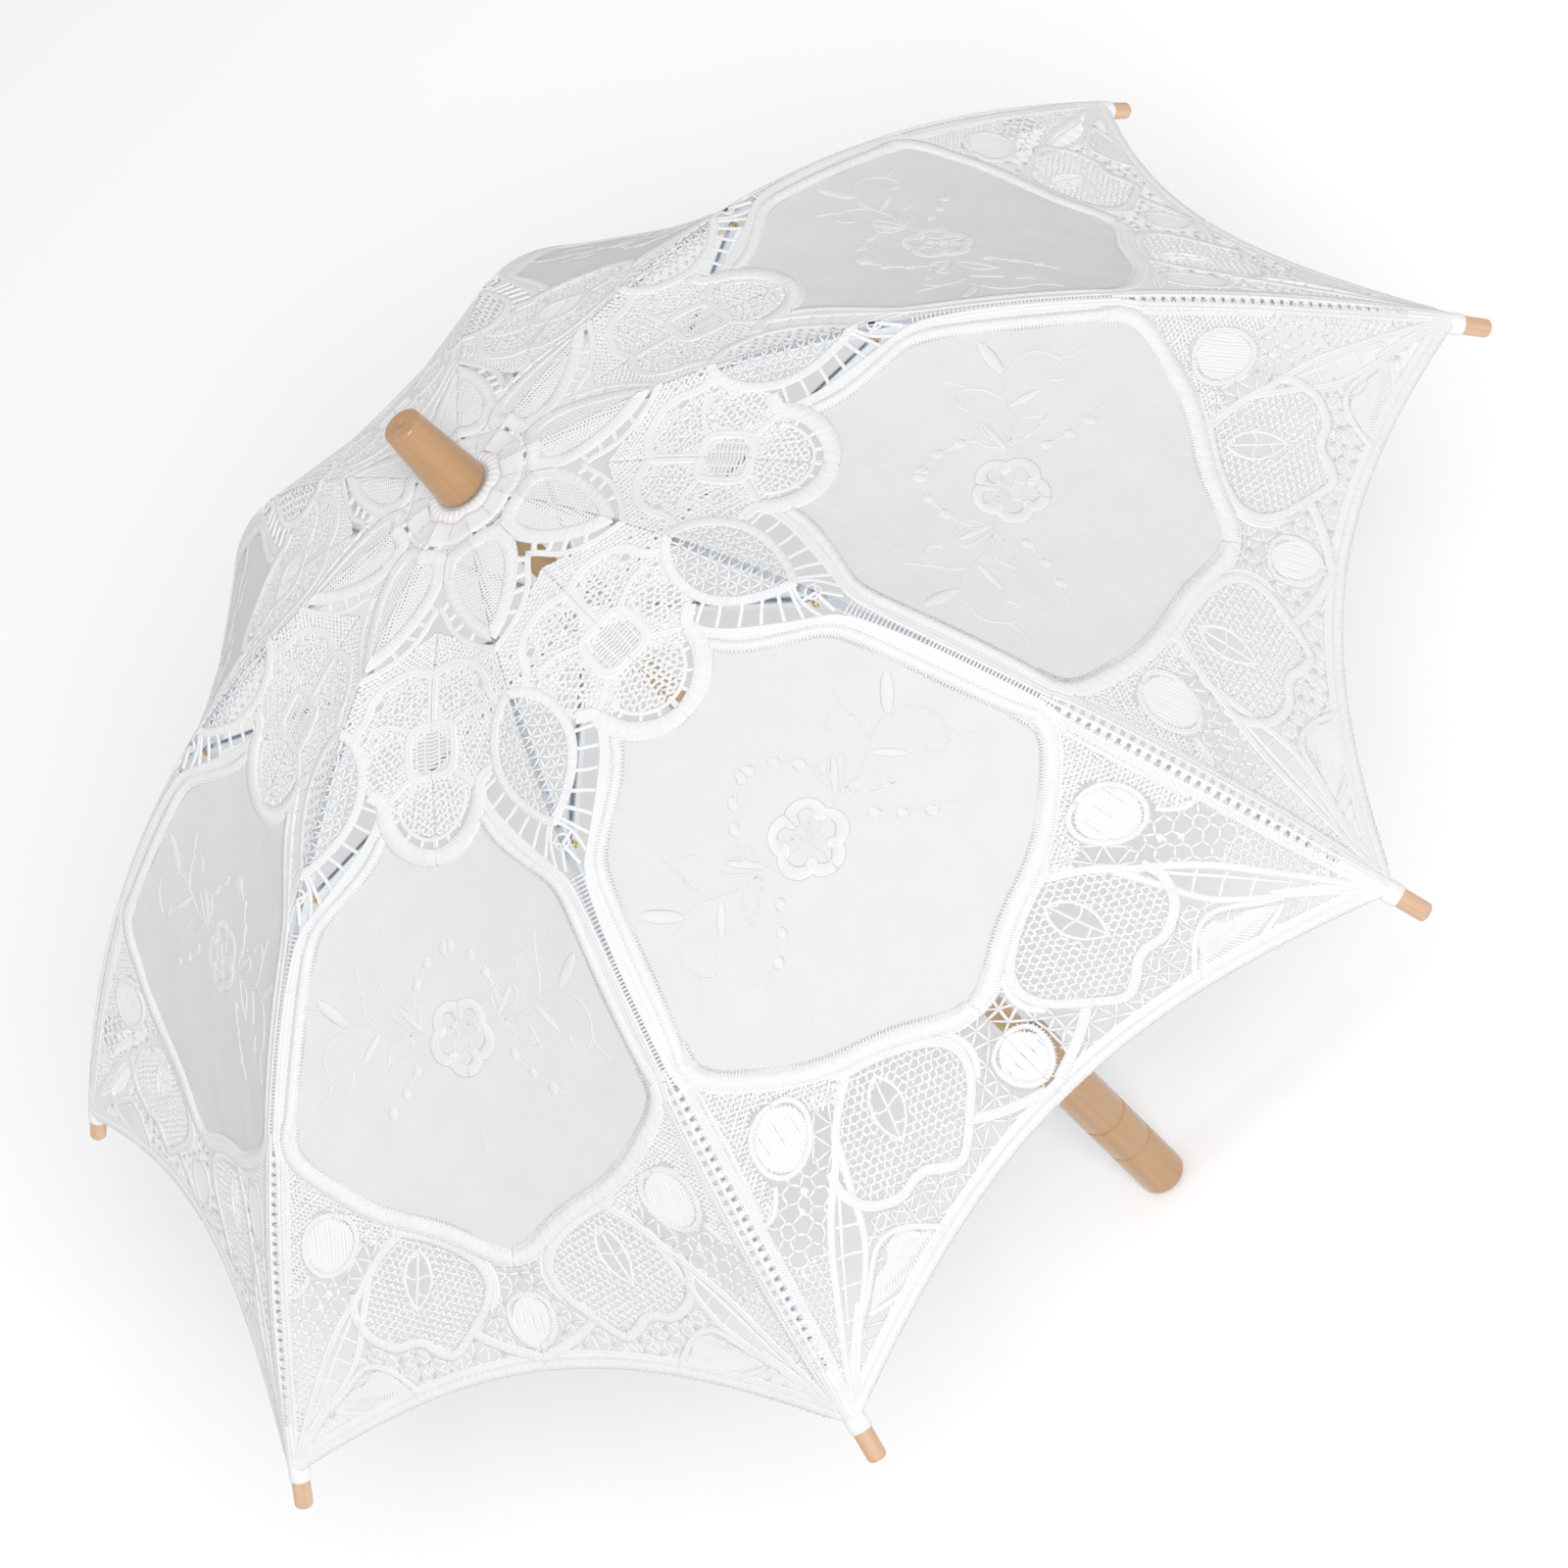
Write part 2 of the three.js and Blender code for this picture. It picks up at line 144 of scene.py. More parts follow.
# -------- the canopy's surface
# A place on the cloth is (s, b): s runs down a rib from the shaft, and b runs across from the rib to
# the middle of the panel. Everything on the cloth is drawn for one half of a panel, in millimetres. A rib
# curves down from TOP by DROP at RADIUS. The panel sags between its ribs, and its hem rises in the middle.
TOP, DROP, RADIUS, POWER = 619.0, 198.4, 378.0, 2.18
SAG, HEM_RISE = 0.049, 30.8
RHO = np.linspace(0, 430, 4301)
ARC = np.concatenate([[0], np.cumsum(np.hypot(np.diff(RHO), np.diff(DROP * (RHO / RADIUS) ** POWER)))])


def rho_at(s):
    """How far a rib is from the shaft's axis at s."""
    return np.interp(s, ARC, RHO)


def half(s):
    """Half the panel's width at s."""
    return rho_at(s) * SIN


def hem_at(b_share):
    """How far down the hem is, at a share of the way from the rib to the middle of the panel."""
    return np.interp(RADIUS - HEM_RISE * (1 - (1 - b_share) ** 2), RHO, ARC)


def surface(s, b):
    """Points on the cloth's outer face, in millimetres."""
    rho = rho_at(s)
    share = b / np.maximum(rho * SIN, 1e-6)
    z = TOP - DROP * (rho / RADIUS) ** POWER - SAG * rho * (1 - (1 - share) ** 2)
    return np.stack([rho - b * SIN, b * COS, z], -1)


RIB_FOLD = 5


def on_cloth(flat):
    """(s, b, lift) rows to points in space, in metres."""
    s, b, lift = flat[:, 0], flat[:, 1], flat[:, 2]
    along = surface(s + 0.5, b) - surface(s - 0.5, b)
    across = surface(s, b + 0.4) - surface(s, b - 0.4)
    normal = np.cross(along, across)
    # over the rib the cloth is folded, so there its normal turns into the rib's own plane
    near = np.clip(b / RIB_FOLD, 0, 1)
    normal /= np.linalg.norm(normal, axis=1)[:, None]
    side = normal @ np.array([0, 1, 0])
    normal[:, 1] = side * near * near * (3 - 2 * near)
    normal /= np.linalg.norm(normal, axis=1)[:, None]
    return (surface(s, b) + normal * lift[:, None]) * MM


class Work:
    """Cloth work collected as flat vertices, faces and a thread coordinate for each vertex."""

    def __init__(self):
        self.points, self.threads, self.faces, self.count = [], [], [], 0

    def add(self, points, threads, faces):
        self.points.append(points)
        self.threads.append(threads)
        self.faces.extend((np.asarray(faces) + self.count).tolist())
        self.count += len(points)


def smooth_line(points, step, closed=False):
    """A smooth line through the points, in even steps."""
    p = np.asarray(points, float)
    if len(p) > 2:
        if closed:
            padded = np.vstack([p[-1], p, p[0], p[1]])
        else:
            padded = np.vstack([2 * p[0] - p[1], p, 2 * p[-1] - p[-2]])
        parts = []
        t = np.linspace(0, 1, 17)[:-1, None]
        for a, b, c, d in zip(padded, padded[1:], padded[2:], padded[3:]):
            bend, twist = 2 * a - 5 * b + 4 * c - d, 3 * b - a - 3 * c + d
            parts.append(0.5 * (2 * b + (c - a) * t + bend * t**2 + twist * t**3))
        p = np.vstack(parts + [p[:1] if closed else p[-1:]])
    run = np.concatenate([[0], np.cumsum(np.linalg.norm(np.diff(p, axis=0), axis=1))])
    count = max(2, int(round(run[-1] / step)) + 1)
    at = np.linspace(0, run[-1], count)
    return np.stack([np.interp(at, run, p[:, 0]), np.interp(at, run, p[:, 1])], -1)


# cross-sections: (share of the half width, share of the rise)
TAPE = [(-1, 0.1), (-0.93, 0.7), (-0.66, 1), (-0.3, 0.82), (0.3, 0.82), (0.66, 1), (0.93, 0.7), (1, 0.1)]
SATIN = [(-1, 0.0), (-0.8, 0.55), (-0.4, 0.9), (0, 1), (0.4, 0.9), (0.8, 0.55), (1, 0.0)]
THREAD = [(-1, 0.25), (-0.55, 0.9), (0.55, 0.9), (1, 0.25)]


def reach_edges(line, width):
    """Carries a line's ends a little past the rib or the middle of the panel, to be cut off square there."""
    for end, before in ((0, 1), (-1, -2)):
        s, b = line[end]
        lead = line[end] - line[before]
        lead = lead / max(np.linalg.norm(lead), 1e-6)
        if float(half(s)) - b < 1.3 or b < 0.4:
            extra = line[end] + lead * width * (0.45 if b > 1 else 0.2)
            line = np.vstack([extra, line]) if end == 0 else np.vstack([line, extra])
    return line


def strip(work, line, width, rise, profile=TAPE, step=1.6, closed=False, taper=(1, 1), wave=0.0, lens=0.0):
    """A tape, satin line or thread laid along a line, crowned on top and closed underneath.

    taper is the share of the width at each end, wave makes it uneven, and lens makes it a leaf.
    """
    line = smooth_line(line, step, closed)
    if not closed:
        line = reach_edges(line, width)
    if closed:
        line = line[:-1]
        ahead = np.roll(line, -1, 0) - np.roll(line, 1, 0)
    else:
        ahead = np.gradient(line, axis=0)
    ahead /= np.maximum(np.linalg.norm(ahead, axis=1), 1e-9)[:, None]
    aside = np.stack([-ahead[:, 1], ahead[:, 0]], -1)
    n, under = len(line), [(0.75, None), (-0.75, None)]
    share = np.linspace(0, 1, n)
    widths = width / 2 * (taper[0] + (taper[1] - taper[0]) * share)
    if lens:
        widths = widths * np.maximum(np.sin(math.pi * share), 0.02) ** lens
    if wave:
        widths = widths * (1 + wave * np.sin(np.arange(n) * 2.1 + line[0, 0]))
    sink = -0.45 + 0.08 * math.sin(line[0, 0] * 3 + line[0, 1])
    section = profile + under
    m = len(section)
    run = np.concatenate([[0], np.cumsum(np.linalg.norm(np.diff(line, axis=0), axis=1))])
    flat = np.zeros((n, m, 3))
    threads = np.zeros((n, m, 2))
    for j, (x, z) in enumerate(section):
        flat[:, j, :2] = line + aside * (x * widths)[:, None]
        flat[:, j, 2] = sink if z is None else z * rise
        threads[:, j, 0] = run
        threads[:, j, 1] = x * widths
    index = np.arange(n * m).reshape(n, m)
    nxt = np.roll(index, -1, 0) if closed else index[1:]
    cur = index if closed else index[:-1]
    quads = np.stack([cur, nxt, np.roll(nxt, -1, 1), np.roll(cur, -1, 1)], -1).reshape(-1, 4)
    faces = quads.tolist()
    points, uv = flat.reshape(-1, 3), threads.reshape(-1, 2)
    if not closed:
        points = np.vstack([points, flat[0], flat[-1]])
        uv = np.vstack([uv, threads[0], threads[-1]])
        first, last = n * m, n * m + m
        faces = faces + [list(range(first, last)), list(range(last + m - 1, last - 1, -1))]
    points[:, 1] = np.clip(points[:, 1], 0, half(points[:, 0]))
    start = work.count
    work.points.append(points)
    work.threads.append(uv)
    work.faces.extend([[i + start for i in f] for f in faces])
    work.count += len(points)


def segments(work, a, b, width, rise, lap=0.3):
    """Many short straight threads at once, from the points a to the points b."""
    a, b = np.asarray(a, float), np.asarray(b, float)
    if not len(a):
        return
    ahead = b - a
    length = np.maximum(np.linalg.norm(ahead, axis=1), 1e-6)
    ahead = ahead / length[:, None]
    aside = np.stack([-ahead[:, 1], ahead[:, 0]], -1)
    a, b = a - ahead * width * lap, b + ahead * width * lap
    width = width * (1 + 0.12 * np.sin(a[:, 0] * 5.1 + a[:, 1] * 3.3))
    section = THREAD + [(0, None)]
    m = len(section)
    flat = np.zeros((len(a), 2, m, 3))
    threads = np.zeros((len(a), 2, m, 2))
    sink = -0.4 + 0.06 * np.sin(a[:, 0] * 7 + b[:, 1] * 5)
    for j, (x, z) in enumerate(section):
        for end, place in enumerate((a, b)):
            flat[:, end, j, :2] = place + aside * (x * width / 2)[:, None]
            flat[:, end, j, 2] = sink if z is None else z * rise
            threads[:, end, j, 0] = end * length
            threads[:, end, j, 1] = x * width / 2
    index = np.arange(len(a) * 2 * m).reshape(len(a), 2, m)
    cur, nxt = index[:, 0], index[:, 1]
    quads = np.stack([cur, nxt, np.roll(nxt, -1, 1), np.roll(cur, -1, 1)], -1).reshape(-1, 4)
    ends = cur.tolist() + nxt[:, ::-1].tolist()
    points = flat.reshape(-1, 3)
    points[:, 1] = np.clip(points[:, 1], 0, half(points[:, 0]))
    start = work.count
    work.points.append(points)
    work.threads.append(threads.reshape(-1, 2))
    work.faces.extend([[i + start for i in f] for f in quads.tolist() + ends])
    work.count += len(points)


def inside(polygon, p):
    """Which of the points lie inside the polygon."""
    poly = np.asarray(polygon, float)
    hit = np.zeros(len(p), bool)
    for (s0, b0), (s1, b1) in zip(poly, np.roll(poly, -1, 0)):
        spans = (b0 > p[:, 1]) != (b1 > p[:, 1])
        cross = (s1 - s0) * (p[:, 1] - b0) / ((b1 - b0) if b1 != b0 else 1e-9) + s0
        hit ^= spans & (p[:, 0] < cross)
    return hit


def room_to_hem(p):
    """How far each point is from the hem tape, up the panel."""
    share = np.clip(p[:, 1] / np.maximum(half(p[:, 0]), 1e-6), 0, 1)
    return hem_at(share) - 3.2 - p[:, 0]


def net(work, polygon, kind, pitch, thread, rise, holes=(), angle=0.0, shake=0.1):
    """A net of hexagons, stars (triangles) or squares that fills a polygon, apart from the holes."""
    poly = np.asarray(polygon, float)
    low, high = poly.min(0) - 2 * pitch, poly.max(0) + 2 * pitch
    centre = (low + high) / 2
    reach = np.linalg.norm(high - low) / 2
    n = int(reach / pitch) + 3
    i, j = np.meshgrid(np.arange(-n, n + 1), np.arange(-n, n + 1), indexing="ij")
    i, j = i.ravel(), j.ravel()
    if kind == "hex":
        side = pitch / math.sqrt(3)
        x = pitch * (i + 0.5 * (j % 2))
        y = 1.5 * side * j
        top = np.stack([x, y + side / 2], -1)
        low_left = np.stack([x - pitch / 2, y], -1)
        low_right = np.stack([x + pitch / 2, y], -1)
        up_to = np.stack([x, y + 1.5 * side], -1)
        starts, ends = [top, top, top], [low_left, low_right, up_to]
    elif kind == "star":
        row = pitch * math.sqrt(3) / 2
        here = np.stack([pitch * (i + 0.5 * (j % 2)), row * j], -1)
        starts = [here, here, here]
        ends = [here + [pitch, 0], here + [pitch / 2, row], here + [-pitch / 2, row]]
    else:
        here = np.stack([pitch * i, pitch * j], -1)
        starts, ends = [here, here], [here + [pitch, 0], here + [0, pitch]]
    a, b = np.vstack(starts).astype(float), np.vstack(ends).astype(float)
    c, s = math.cos(angle), math.sin(angle)
    turned = np.array([[c, s], [-s, c]])
    a, b = a @ turned + centre, b @ turned + centre

    def shaken(p):
        """Each knot a little out of place, the same for every thread that meets there."""
        s, b = np.round(p, 1).T
        noise = np.stack([np.sin(s * 12.99 + b * 78.2), np.sin(s * 39.3 + b * 11.1)], -1)
        return p + noise * shake * pitch

    a, b = shaken(a), shaken(b)
    middle = (a + b) / 2
    keep = inside(poly, middle) & (inside(poly, a) | inside(poly, b))
    for hs, hb, rs, rb in holes:
        keep &= ((middle[:, 0] - hs) / rs) ** 2 + ((middle[:, 1] - hb) / rb) ** 2 > 1
    a, b = a[keep], b[keep]
    # threads stop at the rib, at the middle of the panel and under the hem
    room = (lambda p: p[:, 1], lambda p: half(p[:, 0]) - p[:, 1], room_to_hem)
    for limit in room:
        da, db = limit(a), limit(b)
        stay = (da > 0) | (db > 0)
        a, b, da, db = a[stay], b[stay], da[stay], db[stay]
        t = (da / np.where(da - db == 0, 1, da - db))[:, None]
        cut = a + (b - a) * t
        a, b = np.where((da < 0)[:, None], cut, a), np.where((db < 0)[:, None], cut, b)
    segments(work, a, b, thread, rise)


def at(s, m):
    """A point given as s and its distance from the middle of the panel."""
    return (s, float(half(s)) - m)


def mid(*points):
    """Points given as (s, distance from the middle of the panel)."""
    return [at(s, m) for s, m in points]


def ring_at(radius, steps=6):
    """A line at a true radius round the shaft, from the rib to the middle of the panel."""
    made = []
    for angle in np.linspace(0, SECTOR, steps):
        b = radius * math.sin(angle) / COS
        made.append((float(np.interp(radius * math.cos(angle) + b * SIN, RHO, ARC)), b))
    return made


def hem_line(inset, start=0.02):
    """A line inset millimetres up from the hem."""
    shares = np.linspace(start, 1, 24)
    s = hem_at(shares) - inset
    return [(a, float(half(a)) * t) for a, t in zip(s, shares)]


def oval(s, b, rs, rb, count):
    """Points round an oval."""
    turn = np.linspace(0, 2 * math.pi, count + 1)[:-1]
    return [(s + rs * math.cos(t), b + rb * math.sin(t)) for t in turn]


def eyelet(work, s, b, rs, rb, width=1.3):
    """The worked edge of a hole in the lace."""
    strip(work, oval(s, b, rs, rb, 8), width, 0.75, THREAD, 1.0, True)


def bars(work, pairs, width=1.4, rise=0.7):
    """Slightly bowed bars of thread, each from one point to another."""
    for a, b in pairs:
        bow = (np.array(a) + np.array(b)) / 2 + rng.normal(0, 0.5, 2)
        strip(work, [a, tuple(bow), b], width, rise, THREAD, 1.3, wave=0.12)


def comb(work, line, shift, length, pitch, thread, rise, slant=0.0):
    """Short stitches across a line, shift millimetres to one side of it."""
    line = smooth_line(line, pitch)
    ahead = np.gradient(line, axis=0)
    ahead /= np.linalg.norm(ahead, axis=1)[:, None]
    aside = np.stack([-ahead[:, 1], ahead[:, 0]], -1)
    wander = 0.25 * np.sin(np.arange(len(line)) * 2.3)[:, None]
    a = line + aside * (shift - length / 2 + wander) - ahead * slant
    b = line + aside * (shift + length / 2 + wander * 0.5) + ahead * slant
    clear = np.ones(len(line), bool)
    for end in (a, b):
        clear &= (end[:, 1] > 0.3) & (half(end[:, 0]) - end[:, 1] > 0)
    segments(work, a[clear], b[clear], thread, rise, lap=0.1)


lace, tape, thread_work = Work(), Work(), Work()

# -------- crown of petals
strip(tape, ring_at(24.6), 11.5, 1.0)
for k in (0, 21):
    strip(tape, [ring_at(29.2, 41)[k], ring_at(37.5, 41)[k]], 2.6, 0.8, THREAD, 1.3)
PETAL = [(36.5, 0), (37.2, 6), (40, 11.6), (46, 15.4), (54, 16.6), (62, 15.7), (70, 13), (77, 9.4), (83, 5),
         (87.5, 0)]
strip(tape, PETAL, 7.4, 1.0)
comb(lace, PETAL, 0, 6.6, 1.25, 0.75, 1.06, 0.35)
strip(tape, mid((37, 0.8), (51, 0.8)), 4, 0.8)
net(lace, [(37, -2), (37, 8), (42, 12.5), (52, 14.5), (62, 14), (70, 11), (77, 7.5), (84, 2), (86, -2)],
    "square", 1.75, 1.12, 0.45, angle=0.12, shake=0.06)

# -------- flower between the petals and the panel
COLLAR = mid((64.5, 0), (69, 3.5), (75, 7), (80.5, 11.5), (86, 18.5), (91, 27)) + [(95, 0)]
strip(tape, COLLAR, 3.2, 0.9)
bars(lace, [(at(62, 5.2), at(66, 2)), (at(69.5, 11), at(72, 5.5)), (at(75.5, 16), at(78.5, 9.5)),
            (at(82, 23), at(87, 19))], 2.6, 0.8)
# holes are (s, b, half length, half width)
flower_holes = [(*at(s, m), rs, rb) for s, m, rs, rb in (
    (97.3, 4.6, 1.3, 2.8), (100.5, 0.0, 1.7, 1.7), (107, 27, 2.6, 2.4), (113.5, 30.8, 1.5, 2.0),
    (101, 24, 1.4, 1.8), (121.6, 28, 2.0, 2.1), (121.4, 33.6, 1.8, 1.6), (120.5, 22.6, 1.2, 1.6),
    (129.8, 34.2, 1.6, 1.4), (104, 9, 1.3, 1.8), (108.5, 13, 1.3, 1.6), (112, 6, 1.2, 1.6),
    (112.2, 17.5, 1.3, 1.5), (117.5, 9, 1.3, 2.0), (117.8, 14.5, 1.2, 1.5), (104.5, 17.5, 1.4, 1.6),
    (109, 21.5, 1.2, 1.4))]
flower_holes += [(107, 13.6, 2.4, 2.3), (113.4, 7.6, 1.9, 2.0), (113, 12.8, 1.4, 1.7), (120.6, 7.4, 1.7, 2.3),
                 (122.5, 17.5, 2.0, 1.6), (114, 2.2, 1.6, 1.6), (103, 5.2, 1.6, 1.5)]
net(lace,
    [(64, 40), (72, 34), (80, 24), (88, 12), (96, -2), (119, -2), (124, 8), (131, 15), (140, 19), (147, 22),
     (152, 28), (156, 36), (156, 80), (64, 80)], "hex", 2.3, 2.05, 0.5,
    [(s, b, rs + 0.2, rb + 0.2) for s, b, rs, rb in flower_holes]
    + [(*at(131, 0), 10, 10.5), (134.5, at(134, 24)[1], 11, 8.3), (*at(110, 14), 10.5, 10.5),
       (*at(154, 0), 12.5, 16)])
for hole in flower_holes:
    if hole[1] < float(half(hole[0])) - 1:
        eyelet(lace, *hole)
LOBE_TOP = mid((97, 1.5), (96.5, 12), (100, 20.5), (106, 25), (113, 26), (119.5, 22), (120, 13), (118, 1.5))
LOBE_SIDE = mid((122, 15), (123, 30), (131, 32.5), (141, 33.5), (147, 31), (150, 26), (147, 17),
                (141, 14.5), (131, 14))
LOBE_LOW = mid((143, -2), (143, 12), (147, 17.4), (153, 18), (160, 15), (166, 9), (169, -2))
for polygon, angle in ((LOBE_TOP, 0.3), (LOBE_SIDE, 0.9), (LOBE_LOW, 0.1)):
    net(lace, polygon, "hex", 3.1, 1.75, 0.55, flower_holes, angle, 0.2)
strip(tape, mid((96, 1), (93.6, 11), (97, 22), (104.5, 29.5), (113, 33), (121, 39)), 4.6, 1.0)
strip(tape, mid((98, 0.9), (118, 0.9)), 3.6, 0.8)
strip(tape, mid((119.8, -1), (119.8, 7), (122.2, 11), (131, 12.2), (139.5, 11.4), (142.3, 7), (142.3, -1)),
      4.2, 1.05)
strip(tape, mid((120.5, 13), (117.5, 20), (117, 26), (118.4, 31)), 2.6, 0.85)
strip(tape, mid((142, 12), (147.5, 19), (151, 23)), 3.4, 0.9)
for s in np.arange(122.4, 140, 1.75):
    wobble = 0.5 * math.sin(s * 2.3)
    strip(lace, mid((s + wobble, 10.5), (s - 0.4, 5), (s + 0.25, 0)), 1.0, 0.6, THREAD, 1.6)
for b in (3.4, 7.8):
    strip(lace, mid((121, b), (131, b + 0.4), (141, b)), 0.9, 0.35, THREAD, 2)


def around(radius, degrees, centre=151.5):
    """A point round a centre on the panel's mid-line, which is the flower's lowest lobe if not given."""
    t = math.radians(degrees)
    return (centre + radius * math.cos(t), radius * math.sin(t))


strip(tape, mid(*[around(18.1, d) for d in range(-4, 96, 10)]), 1.9, 0.9, THREAD, 1.2)
strip(tape, mid(*[around(25.6, d) for d in range(-4, 90, 9)]), 7.6, 1.15)
for degrees in (0.5, 20.5, 43, 69):
    strip(lace, mid(around(17.5, degrees), around(23, degrees)), 2.2, 0.85, THREAD, 1.2)

# -------- leaf on the rib, and its open ladder
LEAF = [(118.4, 0), (120.4, 4.4), (125.5, 9.8), (132, 14.2), (140, 17.3), (148, 18.6), (156, 17.6),
        (164, 14.2), (171, 8.9), (176, 4.0), (178.6, 0)]
strip(tape, LEAF, 4.6, 1.0)
comb(lace, LEAF, 0, 4.2, 1.2, 0.75, 1.06, 0.3)
net(lace,
    [(119, -3), (122, 6), (128, 12), (136, 16.4), (146, 18.4), (155, 17.4), (163, 14), (170, 9), (177, 2),
     (178, -3)],
    "star", 5.2, 1.05, 0.6, shake=0.11, angle=0.05)
LADDER_OUT = [(146.5, 21), (150, 27.5), (155, 29.8), (161, 29), (168, 26.6), (175, 22.8), (183, 17.8),
              (190, 13.2), (197, 8.2), (203, 4.6), (210, 3.3)]
strip(tape, [(a, b + 2.2) for a, b in LADDER_OUT[:-1]] + [(212, 5.1)], 5.4, 1.0)
bars(lace,
     [((150.5, 19.5), (154.5, 30)), ((157.5, 18), (163, 29)), ((165, 14.5), (171, 25.5)),
      ((171, 9.5), (178.5, 21)), ((175, 5.2), (186, 16)), ((177.5, 2), (192, 12)),
      ((178.5, 0.2), (186, 5.5)), ((186, 5.5), (197.5, 8)), ((186, 5.5), (189, 0.3)),
      ((189, 0.2), (200, 3.8))], 1.7, 0.7)
eyelet(lace, 188, 0.2, 3.2, 3.0, 1.2)

# -------- tapes along the rib and round the cotton panel
# The crown is a piece apart from the panel.
crown_lace, lace = lace, Work()
crown_tape, tape = tape, Work()
SHOULDER = mid(around(30.5, 62)) + mid((168.5, 28.6))
SHOULDER += [(172.5, 33), (178, 30.2), (184, 26), (190, 21), (196, 15.8), (202, 11.8), (209, 9.9),
             (220, 9.4), (240, 9.4), (262, 9.2), (280, 8.6), (291, 7.2)]
strip(tape, SHOULDER, 5.4, 1.3, SATIN)
strip(tape, [(164, 33.4), (170, 30.6), (175, 27.6), (181, 23.8), (188, 18.6), (195, 13.4), (202, 9),
             (210, 6.9), (230, 6.5), (260, 6.3), (285, 5.4)], 5.2, 0.85)
strip(tape, [(206, 4.7), (214, 3.9), (226, 3.2), (240, 2.9), (270, 2.8), (292, 2.8)], 3.4, 0.95)
PANEL_FOOT = [(284, 7.8), (295, 8.6)]
PANEL_FOOT += mid((303.5, 91.5), (312, 81), (319.5, 70), (324.5, 60), (328, 50), (331, 40),
                  (334.2, 31), (338.5, 22.5), (343, 14.5), (346, 7.5), (347, -1))
strip(tape, PANEL_FOOT, 8.4, 1.2, SATIN)
comb(lace, PANEL_FOOT, 3.3, 3.0, 1.45, 1.1, 0.7, 0.2)
comb(lace, PANEL_FOOT, 0.4, 6.0, 1.15, 0.7, 1.32, 0.3)
comb(lace, SHOULDER, 2.1, 2.4, 1.45, 1.1, 0.7, 0.2)
comb(lace, SHOULDER, 0, 4.6, 1.15, 0.7, 1.4, 0.3)
comb(lace, mid(*[around(28.6, d) for d in range(-4, 72, 9)]), 0, 2.6, 1.45, 1.1, 0.7, 0.2)
comb(lace, mid(*[around(25.4, d) for d in range(-4, 90, 9)]), 0, 6.4, 1.15, 0.7, 1.24, 0.3)
WIDE_TO, NARROW_TO = 240, 296
s = 204.0
while s < NARROW_TO:
    strip(lace, [(s, 0), (s + 0.3, 3.6)], 0.85 if s < WIDE_TO else 1.1, 0.5, THREAD, 1.8)
    s += 1.9 if s < WIDE_TO else 1.6

# -------- border: the rib line
strip(tape, [(288, 0.1), (330, 0.1), (380, 0.1), (436, 0.1)], 1.5, 0.9, THREAD, 4)
strip(tape, [(292, 3.2), (302, 4.8), (330, 5.3), (380, 5.2), (410, 4.4), (428, 3.0), (438, 1.2)], 3.7, 1.05)
strip(tape, [(296, 5.6), (305, 8.0), (330, 8.4), (357, 7.6)], 2.2, 0.8)
for s in np.arange(299, 414, 4.3):
    strip(lace, [(s, 0.2), (s + 0.2, 3.8)], 3.15, 0.7, THREAD, 1.2)
for shift in (3.6, 6.6):
    comb(lace, [(300, shift), (340, shift + 0.4), (380, shift + 0.2), (418, shift - 1.6)], 0, 2.6, 1.3,
         0.75, 1.12, 0.35)

# dense weave, and the woven bud in its ring
net(lace,
    [(294, 5), (302, 12), (310, 24), (317, 36), (323, 50), (328, 64), (338, 57), (336, 44), (328, 42),
     (322, 34), (321, 22), (329, 15.5), (338, 13.8), (346, 15), (352, 17), (359, 14), (361, 6)],
    "hex", 2.15, 1.5, 0.5, shake=0.16, angle=0.2)
BUD = [(323.5, 31), (325.5, 37.5), (332, 41), (340, 39.6), (346.5, 34.5), (349.5, 28), (348.5, 21.5),
       (343, 16.8), (335, 15.8), (328, 18.6), (324, 24.5)]
strip(tape, BUD, 2.4, 0.95, closed=True)
for b in np.arange(17.4, 40, 1.42):
    reach = 12.4 * math.sqrt(max(0.02, 1 - ((b - 28.4) / 12.6) ** 2))
    bend = 1.5 * math.sin(b * 0.9)
    strip(lace, [(336.5 - reach, b - 1.0), (334, b + bend * 0.3), (336.5 + reach, b + 0.8)], 2.1, 0.7,
          SATIN, 2.0, wave=0.12)
comb(lace, BUD, 0, 3.4, 1.5, 0.8, 0.95, 0.3)
strip(tape, [(359.5, 6), (358.5, 11.5), (353.5, 15.6), (349.5, 17.6)], 2.2, 0.9)

# stems from the shell to the tip
STEM_A = [(327, 67), (333.5, 60.5), (340, 53.4), (348, 47), (356, 42.2), (364, 36), (372, 30.4),
          (382, 24.8), (394, 19.6), (408, 13.6), (422, 8), (434, 3.6)]
STEM_B = [(352, 46), (358, 44.6), (364, 43.2), (372, 41.4), (380, 39.8), (388, 37), (396, 32), (404, 26),
          (412, 20), (422, 13), (432, 6.6)]
strip(tape, STEM_A, 4.0, 1.15, taper=(1, 0.7))
strip(tape, STEM_B, 3.4, 1.05, taper=(1, 0.7))
strip(tape, [(366, 37.6), (374, 33.6), (384, 28.4), (396, 22.6), (409, 16.4)], 2.0, 0.9, SATIN,
      taper=(1, 0.6))
net(lace, [(326, 52), (334, 41), (346, 36), (352, 38), (360, 37), (352, 45), (344, 50), (336, 58)], "star",
    8.5, 1.2, 0.65, shake=0.14, angle=0.5)
bars(lace,
     [((376, 30), (380, 39)), ((386, 25), (390, 36)), ((396, 21), (399, 30)), ((362, 36), (369, 42)),
      ((407, 15), (409, 22))])
